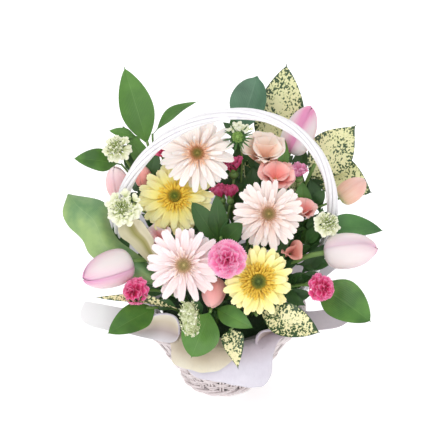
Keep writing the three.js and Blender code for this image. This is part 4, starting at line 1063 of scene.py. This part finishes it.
def scabiosa(name, head, azimuth, elevation, radius, outer, loose=1.0, shift=(0, 0), reach=0.4):
    """`outer` lists the large florets as (angle in degrees, size in shares of the radius). Small ones
    fill the inside at even turns, round a button of closed ones with its stamens."""
    bloom = facing(head, azimuth, elevation)
    r = radius / 1000
    lace = []
    for angle, size in outer:
        tone = rng.random()
        for part in floret(r * size, 6 + 8 * loose * rng.normal(), 3, 0.62):
            lace.append(grid(spun(part, math.radians(angle), 0.98 * r - r * size, 0.0004), tone=tone))
    for k in range(SMALL_FLORETS):
        angle, out = NEXT_PETAL * k + rng.normal(0, 0.2), r * (0.24 + 0.3 * (k % 3) / 2)
        tone = rng.random()
        for part in floret(r * rng.uniform(0.2, 0.32), 30 + 16 * loose * rng.normal(), 4, 1.3):
            part = spun(part, rng.uniform(0, 6.3))
            lace.append(grid(spun(part, angle, out, 0.0032 - 0.05 * out + rng.uniform(0, 0.0016)), tone=tone))
    piece(name + "_lace", on_bloom(bloom, lace), scabiosa_cream, [name])
    button = disc_florets(0.27 * r, 0.16 * r, CLOSED_FLORETS, 0.0028)
    green = [(p + [0, 0, 0.001], *rest) for p, *rest in button] + [mound(0.34 * r, 0.16 * r, 14)]
    bract = strap(0.55 * r, 0.0022, -14, cup=0.3, blunt=0.2, rows=6, columns=4)
    green += crown(10, bract, 0.1 * r, -0.0012)
    piece(name + "_button", on_bloom(bloom, green), scabiosa_green)
    threads = []
    for k in range(STAMENS):
        start = around(r * (0.1 + 0.42 * math.sqrt((k + 0.5) / STAMENS)), NEXT_PETAL * k, 0.002)
        end = start * [1.2, 1.2, 1] + [0, 0, rng.uniform(0.0035, 0.0065)]
        path = [start, (start + end) / 2, end, end + [0.0004, 0.0003, 0.0004]]
        threads.append(tube(path, np.array([0.00016, 0.00016, 0.00042, 0.0004]), 4, tone=rng.random()))
    piece(name + "_stamens", on_bloom(bloom, threads), stamen_material)
    path = bloom_stem(bloom, r, -0.0003, shift=shift, reach=reach)
    piece(name + "_stalk", [tube(path, 0.0013, 7)], stem_material)


scabiosa("scabiosa_back_left", (-113, 54, 259), -30, 45, 18, [
    (10, 0.6), (62, 0.5), (118, 0.55), (160, 0.62), (205, 0.6), (248, 0.55), (292, 0.62), (335, 0.52),
], 1.7, reach=0.22)
scabiosa("scabiosa_left", (-102, -25, 230), -20, 38, 22, [
    (5, 0.5), (48, 0.42), (96, 0.45), (140, 0.42), (178, 0.52), (222, 0.56), (262, 0.62), (304, 0.58),
    (338, 0.5),
])
scabiosa("scabiosa_right", (110, -26, 211), 22, 50, 16, [
    (20, 0.5), (88, 0.62), (140, 0.68), (196, 0.55), (238, 0.66), (290, 0.6), (330, 0.5),
], 1.6, (0, 5))

star = facing((17, 21, 289), -14, 40)
middle = [(p - [0, 0, 0.001], *rest) for p, *rest in disc_florets(0.0052, 0.0045, 80, 0.0018)]
middle.append(mound(0.0058, 0.004, 14))
bud_star = "scabiosa_bud_star"
piece(bud_star + "_button", on_bloom(star, middle), fresh_green, [bud_star])
spikes = []
for count, lift, size in ((11, -4, 1.15), (10, 14, 1.1), (6, 42, 0.75)):
    for k in range(count):
        bract = strap(0.0145 * size, 0.0019, lift + rng.normal(0, 6), -0.05, cup=0.6, foot=0.9, blunt=0.12,
                      teeth=0, rows=8, columns=5)
        bract = spun(bract, 2 * math.pi * (k + 0.5 * (count == 10)) / count, 0.001)
        spikes.append(toned(bract))
piece(bud_star + "_bracts", on_bloom(star, spikes), bract_green)
top = []
for k, angle in enumerate((58, 74, 90, 106, 122, 138, 42, 82, 98)):
    for part in floret(0.0066, 24, 4, 1.2):
        part = spun(part, rng.uniform(0, 6.3))
        part = spun(part, math.radians(angle), 0.0105 + 0.0035 * (k > 5), 0.002)
        top.append(toned(part))
piece(bud_star + "_lace", on_bloom(star, top), scabiosa_cream)
path = stem_path(star[1], star[0] @ [0, 0, 1])
piece(bud_star + "_stalk", [tube(path, 0.0013, 7)], stem_material)

foot, tip = (-35, -106, 167), (-31, -129, 139)
droop, length = between(foot, tip)
share = np.linspace(0, 1, 6)
girth = 0.0082 * np.sin(math.pi * (0.12 + 0.8 * share)) ** 0.7
seeds = [tube(around(0, 0, length * (0.06 + 0.86 * share)), girth, 14)]
for k in range(SEEDS):
    share, angle = (k + 0.5) / SEEDS, k * NEXT_PETAL
    ring = 0.0088 * math.sin(math.pi * (0.1 + 0.84 * share)) ** 0.6 * rng.uniform(0.9, 1.12)
    middle = around(ring, angle, length * (0.02 + 0.95 * share))
    way = unit(math.cos(angle), math.sin(angle), rng.uniform(-0.2, 0.8))
    sprig = pointing(middle, middle + way)
    for part in floret(rng.uniform(0.003, 0.005), 34, 4, 1.57):
        seeds.append(toned(placed(sprig, part)))
paint = Paint("scabiosa_seedhead", 0.65)
speck = paint.cloud(420, 3)
pale = paint.ramp(paint.tone(), (0, "a9b678"), (0.5, "dde2b8"), (1, "f6f6e4"))
shade = paint.mix(paint.ramp(speck, (0.4, 0), (0.6, 0.6)), pale, "75803e")
seed_material = paint.finish(shade, speck, 0.3)
seedhead = "scabiosa_bud_drooping"
piece(seedhead + "_seeds", on_bloom(droop, seeds), seed_material, [seedhead])
path = stem_path(mm(*foot) + (mm(*tip) - mm(*foot)) * 0.08, unit(0, -0.5, 0.8), spread=0.5)
piece(seedhead + "_stalk", [tube(path, 0.0014, 7)], stem_material)


# Salmon flowers: cups of broad, softly waved petals and closed buds, from pale rose to peach and coral.
# They stand several to a branched stem, between and behind the large blooms.
def salmon(name, foot, deep, middle, rim, streak, base=0.06):
    """A petal's colours from its green foot, over a deep base, to its middle and its rim."""
    stops = [(base, foot), (base + 0.15, deep), (0.6, middle), (1, rim)]
    return petal_material("salmon_" + name, stops, streak, 6, 0.5, 0.2, 0.35)


PEACH = salmon("peach", "e8dc98", "ffc8a4", "ffdcc8", "fff0e6", "ffe6d8")
CORAL = salmon("coral", "dccb88", "f28c80", "f8a39c", "fdd2cb", "fbb8b0")
ROSE = salmon("rose", "e4e6b4", "fab9ba", "fdcbd0", "fff0ee", "fddcdf")
BLUSH = salmon("blush", "d6dc90", "f4c4a4", "f3baac", "f5c4ba", "f8d2c8", 0.14)
FLUSH = salmon("flush", "d8c898", "e6988a", "efa6a4", "f6c6c4", "f4b4b0")
BRICK = salmon("brick", "a88a58", "c0705e", "cf8478", "e6ab9e", "dd9c8e")


def broad_petal(length, lift):
    """A petal whose width grows as a sine of v, with an arc for its end. It is cupped across, most at its
    foot, waves as a sine of u towards its rim, and curls back with the fourth power of v."""
    v, u = axes(14, 17)
    u = np.sin(math.pi / 2 * u)
    start = rng.uniform(0, 6)
    swell = np.sin(math.pi / 2 * np.clip(0.12 + 1.05 * v, 0, 1)) ** 1.1 * (1 - 0.12 * v**4)
    y = length * math.tan(math.radians(35)) * 0.8 * u * swell
    x = length * v * (1 - 0.22 * (1 - np.sqrt(1 - 0.97 * u**2)) * v**3)
    x = x + 0.015 * length * np.sin(5 * u + start) * v**5
    z = 0.24 * length * u**2 * swell * (1 - 0.7 * v) + 0.06 * length * np.sin(3.4 * u + start) * v**3
    return lifted(x, y, z - 0.16 * length * v**4, lift)


def open_cup(foot, tip, petals, lift=58):
    """A cup of two rows of petals, the inner ones steeper."""
    bloom, length = between(foot, tip)
    cup = []
    for k in range(2 * petals - 1):
        inner = k % 2
        reach = length * (0.92 if inner else 1.0) * rng.uniform(0.9, 1.06)
        petal = broad_petal(reach, lift + 12 * inner + rng.normal(0, 6))
        cup.append(toned(spun(petal, math.pi * k / (petals - 0.5), 0.0012 * (1 - inner))))
    return on_bloom(bloom, cup)


def closed_bud(foot, tip, radius):
    """A tulip's petals, lapped a little further."""
    bloom, length = between(foot, tip)
    return on_bloom(bloom, tulip_petals(length, radius / 1000, 0.07))


def salmon_stem(name, end, outward, radius, flowers, shift=(0, 0)):
    """Flowers are (joint of the stem, foot, petals, material); the joint 7 is the stem's own end."""
    path = stem_path(mm(*end), unit(*outward), shift=shift, count=7)
    green = [rounded(path, radius, 8)]
    for k, (joint, foot, petals, material) in enumerate(flowers):
        if joint < 7:
            green.append(twig(path[joint], mm(*foot)))
        piece(f"{name}_cup_{k + 1}", petals, material, [name] if k == 0 else [])
    piece(name + "_twigs", green, stem_material)


salmon_stem("salmon_flowers_back", (45, 40, 246), (0, -0.3, 1), 1.8, [
    (7, (45, 40, 244), open_cup((46, 42, 246), (44, 34, 282), 5, 66), PEACH),
    (5, (57, 26, 235), open_cup((57, 26, 235), (60, 16, 256), 5, 48), CORAL),
    (4, (127, 26, 213), closed_bud((127, 26, 213), (156, 32, 232), 12.5), BLUSH)])
salmon_stem("salmon_flowers_left", (-84, 42, 222), (-0.3, 0, 1), 1.6, [
    (7, (-84, 42, 220), closed_bud((-84, 42, 220), (-87, 44, 244), 9), CORAL),
    (5, (-111, 36, 211), closed_bud((-111, 36, 211), (-116, 38, 245), 12.5), ROSE),
    (4, (-66, -6, 181), open_cup((-66, -6, 181), (-70, -20, 198), 3), ROSE)])
salmon_stem("salmon_flower_front", (-3, -60, 162), (0, -0.5, 0.2), 1.5, [
    (7, (-3, -58, 162), closed_bud((-6, -58, 163), (-12, -84, 145), 12.5), FLUSH)], (3, 0))
salmon_stem("salmon_flowers_right", (70, -28, 178), (0.3, -0.5, 0.8), 1.6, [
    (7, (70, -27, 177), open_cup((71, -32, 178), (74, -45, 192), 2, 72), BRICK),
    (5, (84, 6, 201), open_cup((84, 6, 201), (88, 2, 222), 4, 60), CORAL)])


# Ruscus: firm, glossy, pointed green leaves, at the outside of the bouquet and in between its flowers.
# Their veins run from the foot to the tip.
def leafy_stem(name, end, outward, leaves, material, shift=(0, 0), radius=1.6, wave=0.012):
    """Leaves as in the part: each from a joint of its stem, or from a foot with a stalk to that joint."""
    path = stem_path(mm(*end), unit(*outward), spread=0.5, shift=shift, count=7)
    green = [rounded(path, radius, 8)]
    blades = []
    for joint, foot, tip, width, bow, *shape in leaves:
        start = path[joint]
        if foot:
            green.append(twig(start, mm(*foot), 0.0012))
            start = mm(*foot) + unit(*(start - mm(*foot))) * 0.0015
        blades.append(leaf(start * 1000, tip, width, bow=bow, wave=wave, **dict(*shape)))
    piece(name + "_blades", blades, material, [name])
    piece(name + "_twigs", green, stem_material)


ruscus_leaf = leaf_material("ruscus_leaf", "2d5a1c", "598a35", "86b060", 7, 0.34)
# The centre's leaves are a darker copy of the same leaf: painted shade, deep among the flowers.
shaded_ruscus_leaf = leaf_material("ruscus_leaf_painted_shade", "183c12", "365f22", "6f9450", 7, 0.36)
# The back leaves are a bluer, greyer copy of the same leaf: a painted sheen, the room reflected in their
# gloss.
sheen_ruscus_leaf = leaf_material("ruscus_leaf_painted_sheen", "2a5238", "4d785a", "86a88e", 7, 0.34)


def ruscus(name, end, outward, leaves, shift=(0, 0), material=ruscus_leaf):
    """Leaves are (joint, foot or None, tip, width, bow, and what else shapes them)."""
    leafy_stem(name, end, outward, leaves, material, shift)


ruscus("ruscus_back_left", (-82, 74, 258), (-0.2, 0.1, 1), [
    (6, None, (-107, 110, 332), 37, 6, dict(stalk=0.24, fullest=0.46)),
    (5, None, (-110, 82, 275), 20, 4),
    (5, (-92, 78, 262), (-124, 76, 270), 12, 3),
    (4, (-111, 70, 232), (-162, 54, 247), 26, 5),
    (6, (-76, 80, 264), (-26, 98, 295), 22, 6, dict(face=(-0.5, -0.2, 1)))])
tall_shape = dict(face=(-0.3, -0.8, 0.5), stalk=0.3, fullest=0.55, blunt=0.5)
ruscus("ruscus_back", (18, 84, 272), (0.1, 0.1, 1), [
    (6, None, (39, 110, 320), 42, 4, tall_shape),
    (4, None, (-16, 112, 250), 28, 5, dict(face=(0, 0.7, 0.7))),
    (3, None, (34, 116, 214), 30, 5, dict(face=(0, 0.8, 0.6)))], (0, 0), sheen_ruscus_leaf)
ruscus("ruscus_front_left", (-79, -71, 136), (-0.6, -0.4, 0.3), [
    (6, None, (-119, -106, 126), 31, 4, dict(stalk=0.02, blunt=0.7))])
ruscus("ruscus_front", (-12, -88, 142), (-0.1, -1, 0), [
    (6, None, (-32, -118, 104), 40, 6, dict(face=(0, -0.8, 0.6), fullest=0.52, blunt=0.6)),
    (5, None, (33, -106, 133), 22, 4, dict(face=(0, -0.8, 0.6)))])
ruscus("ruscus_right", (107, -48, 154), (0.6, -0.5, 0.2), [
    (6, None, (157, -83, 125), 44, 6, dict(fullest=0.45, blunt=0.68))])
ruscus("ruscus_centre", (-1, -48, 208), (0, -0.5, 0.8), [
    (6, None, (-32, -28, 240), 22, 3, dict(fullest=0.5, blunt=0.65)),
    (6, None, (-6, -22, 246), 20, 3),
    (6, None, (22, -52, 228), 22, 3, dict(fullest=0.5, blunt=0.65))], (-6, 6), shaded_ruscus_leaf)
ruscus("ruscus_inner_right", (92, 22, 206), (0.2, 0.1, 1), [
    (6, None, (87, 32, 232), 22, 3),
    (5, (64, 33, 238), (68, 44, 276), 12, 3),
    (4, None, (126, 28, 198), 24, 4)])


# Dracaena: pale cream leaves covered with small dark green flecks, closer together near the edge, which
# has a thin green line, and at the tip.
def speckled(name, low, high, cream):
    """Dark flecks where a noise passes from low to high, on a cream ground. High powers of the distance
    from the rib and of v crowd them at the edge and the tip."""
    paint = Paint(name, 0.4, Specular_IOR_Level=0.4, Coat_Weight=0.1, Coat_Roughness=0.35)
    from_rib = paint.from_rib()
    rim = paint.times(paint.math("POWER", paint.times(from_rib, 2.0), 6), 0.12)
    crowd = paint.plus(rim, paint.times(paint.math("POWER", paint.along(), 14), 0.25))
    blots = paint.noise(paint.stretch(paint.place(), (1, 1, 0.75)), 460, 2, 0.5)
    drift = paint.plus(paint.times(paint.cloud(90, 2), 0.3), crowd)
    mark = paint.plus(paint.times(blots, 0.7), drift)
    marked = paint.ramp(mark, (low, 0), (high, 1))
    shadow = paint.ramp(mark, (low - 0.08, 0), (low + 0.01, 1))
    ground = paint.mix(paint.times(shadow, 0.5), cream, "c6d184")
    rib = paint.times(paint.ramp(from_rib, (0.008, 1), (0.022, 0)), 0.4)
    return paint.finish(paint.mix(rib, paint.mix(marked, ground, "2c4a24"), "d8deaa"), blots, 0.2, 0.0004)


dracaena_leaf = speckled("dracaena_leaf", 0.545, 0.575, "e6e4b0")
dracaena_low_leaf = speckled("dracaena_low_leaf", 0.51, 0.54, "ece3b4")


def dracaena(name, end, outward, leaves, radius=2.0, material=dracaena_leaf):
    """Leaves are (joint, foot or None, tip, width, bow, and what else shapes them)."""
    leafy_stem(name, end, outward, leaves, material, (0, 0), radius, wave=0.015)


dracaena("dracaena_back", (60, 90, 236), (0.1, 0.2, 1), [
    (6, None, (72, 132, 326), 56, 5, dict(fold=0.05)),
    (5, (44, 66, 236), (55, 68, 266), 16, 2),
    (4, None, (20, 64, 252), 16, 3),
    (4, None, (60, 134, 226), 34, 5, dict(face=(0, 0.7, 0.7)))])
dracaena("dracaena_right", (102, 66, 234), (0.4, 0.2, 1), [
    (6, None, (148, 86, 273), 50, 5, dict(fullest=0.46, blunt=1.05)),
    (6, None, (167, 60, 200), 50, 13, dict(sway=-9, face=(0, -0.6, 0.8))),
    (5, None, (78, 54, 246), 22, 4)])
front_shape = dict(face=(0, -0.8, 0.6), stalk=0.02, fullest=0.2, blunt=1.1)
dracaena("dracaena_front", (36, -88, 138), (0.2, -1, 0.1), [
    (6, None, (102, -108, 129), 36, 6),
    (5, (8, -92, 122), (17, -121, 92), 24, 4, front_shape)], 1.8, dracaena_low_leaf)
dracaena("dracaena_left", (-44, -86, 138), (-0.4, -0.9, 0.2), [
    (6, None, (-133, -86, 158), 12, 8, dict(face=(0, -0.3, 1)))], 1.8, dracaena_low_leaf)


# Stem leaves: the small leaves left on the stems, which fill the shade between the blooms; their dark green
# is their own and painted shade.
# Most grow from a stem at even steps, where they hide no bloom's face; the last ones stand in gaps, as
# painted shade.
shade_filler_leaf = leaf_material("shade_filler_leaf", "1d3f1a", "37602a", "5d8648", 6, 0.45)
small = []
OPEN_GAPS = [
    (mm(-62, -66, 102), unit(0, -0.7, 0.7), 0.034), (mm(-84, -38, 196), unit(0, -0.8, 0.6), 0.032),
    (mm(50, -72, 96), unit(0, -0.7, 0.7), 0.024),
]
HEAD_DEPTH, BEHIND_FACE, HEAD_MARGIN = 0.06, -0.004, 0.003


def clear_of_heads(place):
    """Whether a place is in front of no bloom and of no open gap: behind its face, or well to its side."""
    for head, outward, radius in heads + OPEN_GAPS:
        depth = (place - head) @ outward
        aside = np.linalg.norm(place - head - depth * outward)
        if BEHIND_FACE < depth < HEAD_DEPTH and aside < radius + HEAD_MARGIN:
            return False
    return True


for path in stem_paths:
    lengths = np.linspace(0, 1, len(path))
    for share in np.arange(0.3, 0.97, 0.055):
        foot = [np.interp(share + rng.uniform(-0.03, 0.03), lengths, path[:, axis]) for axis in range(3)]
        foot = np.array(foot)
        away = unit(*(foot - FAN)) + rng.normal(0, 0.55, 3) + [0, 0, 0.15]
        size = rng.uniform(22, 38)
        tip = foot * 1000 + unit(*away) * size
        face = unit(*(unit(0, -0.6, 0.8) + rng.normal(0, 0.3, 3)))
        if clear_of_heads(tip / 1000) and clear_of_heads((foot + tip / 1000) / 2):
            width = size * rng.uniform(0.34, 0.5)
            small.append(leaf(foot * 1000, tip, width, face, bow=2.5, rows=11, columns=7))
for foot, tip, width in (
    ((0, 33, 217), (-5, 43, 238), 16), ((9, 35, 216), (5, 47, 242), 15), ((-78, 44, 226), (-71, 60, 256), 16),
    ((-100, -14, 160), (-117, 3, 196), 17), ((108, 30, 190), (96, 48, 226), 18),
    ((82, 72, 214), (92, 86, 244), 18), ((84, -24, 146), (115, -9, 178), 18),
    ((80, -18, 156), (118, -19, 158), 17), ((88, -13, 164), (106, -2, 190), 15),
    ((84, -30, 140), (108, -28, 150), 16), ((84, 88, 236), (77, 101, 258), 14),
    ((-70, -56, 130), (-48, -78, 142), 15), ((100, 34, 200), (112, 40, 216), 14),
    ((16, 46, 232), (20, 58, 262), 15), ((32, 36, 212), (34, 46, 242), 16),
):
    small.append(leaf(foot, tip, width, (0, -0.7, 0.7), bow=2.5, rows=13, columns=9))
piece("stem_leaves", small, shade_filler_leaf)


# Folds: the white paper's edge is rolled over on the left, and stands up in a loop on the right, with its
# inner side to the front; the shade in both is painted into their colours.
def shaded_fold_material(name, rough, cloudy, *stops):
    """Paper whose colour runs across the fold from edge to edge, a little clouded; its darker colours are
    painted shade.
    """
    paint = Paint(name, rough)
    cloud = paint.cloud(60, 3)
    color = paint.mix(paint.times(cloud, 0.3), paint.ramp(paint.across(), *stops), cloudy)
    return paint.finish(color, cloud, 0.3)


def folded_paper(name, patch, material, places, radius):
    """A fold of paper with its own rolled edge, a rod along the places."""
    fold = piece(name, [patch], material)
    rod = tube(through(mm(*places), 40, 60), mm(radius), 8)
    edge = piece(name + "_lip", [rod], white_paper)


# Painted shade: pinkish grey and beige in the crease of the rolled fold, and brown down inside the loop.
fold_paper_shaded = shaded_fold_material(
    "fleece_fold_painted_shade", 0.75, "cfc4c6", (0, "e9e5ee"), (0.35, "bbaaaa"), (0.7, "cfc1a8"), (1, "ece6d2"))
inner_paper_shade = shaded_fold_material("fleece_inside_painted_shade", 0.8, "b8a6a0", (0, "e6dfe4"), (0.3, "b9a8a4"), (1, "93807a"))
left_lip = [
    (-99, -80, 112), (-86, -77, 119), (-73, -72, 126), (-59, -71, 128), (-49, -73, 125), (-45, -78, 118),
    (-45, -83, 110),
]
left_low = [
    (-98, -79, 108), (-84, -81, 105), (-72, -84, 104), (-60, -87, 103), (-53, -88, 103), (-48, -87, 105),
    (-45, -84, 109),
]
left_fold = edged_leaf(left_low, left_lip, (0, 5, -2))
folded_paper("paper_fold_left", left_fold, fold_paper_shaded, left_lip, 1.1)
loop = [
    (43, -89, 95), (38, -87, 98), (36, -86, 103), (39, -83, 111), (47, -80, 113), (59, -75, 109),
    (71, -71, 102),
]
behind = [
    (52, -80, 98), (51, -76, 98), (50, -71, 97), (53, -67, 99), (58, -64, 99), (64, -64, 99),
    (73, -65, 98),
]
right_loop = edged_leaf(loop, behind, (0, 3, 0))
folded_paper("paper_loop_right", right_loop, inner_paper_shade, loop, 1.3)
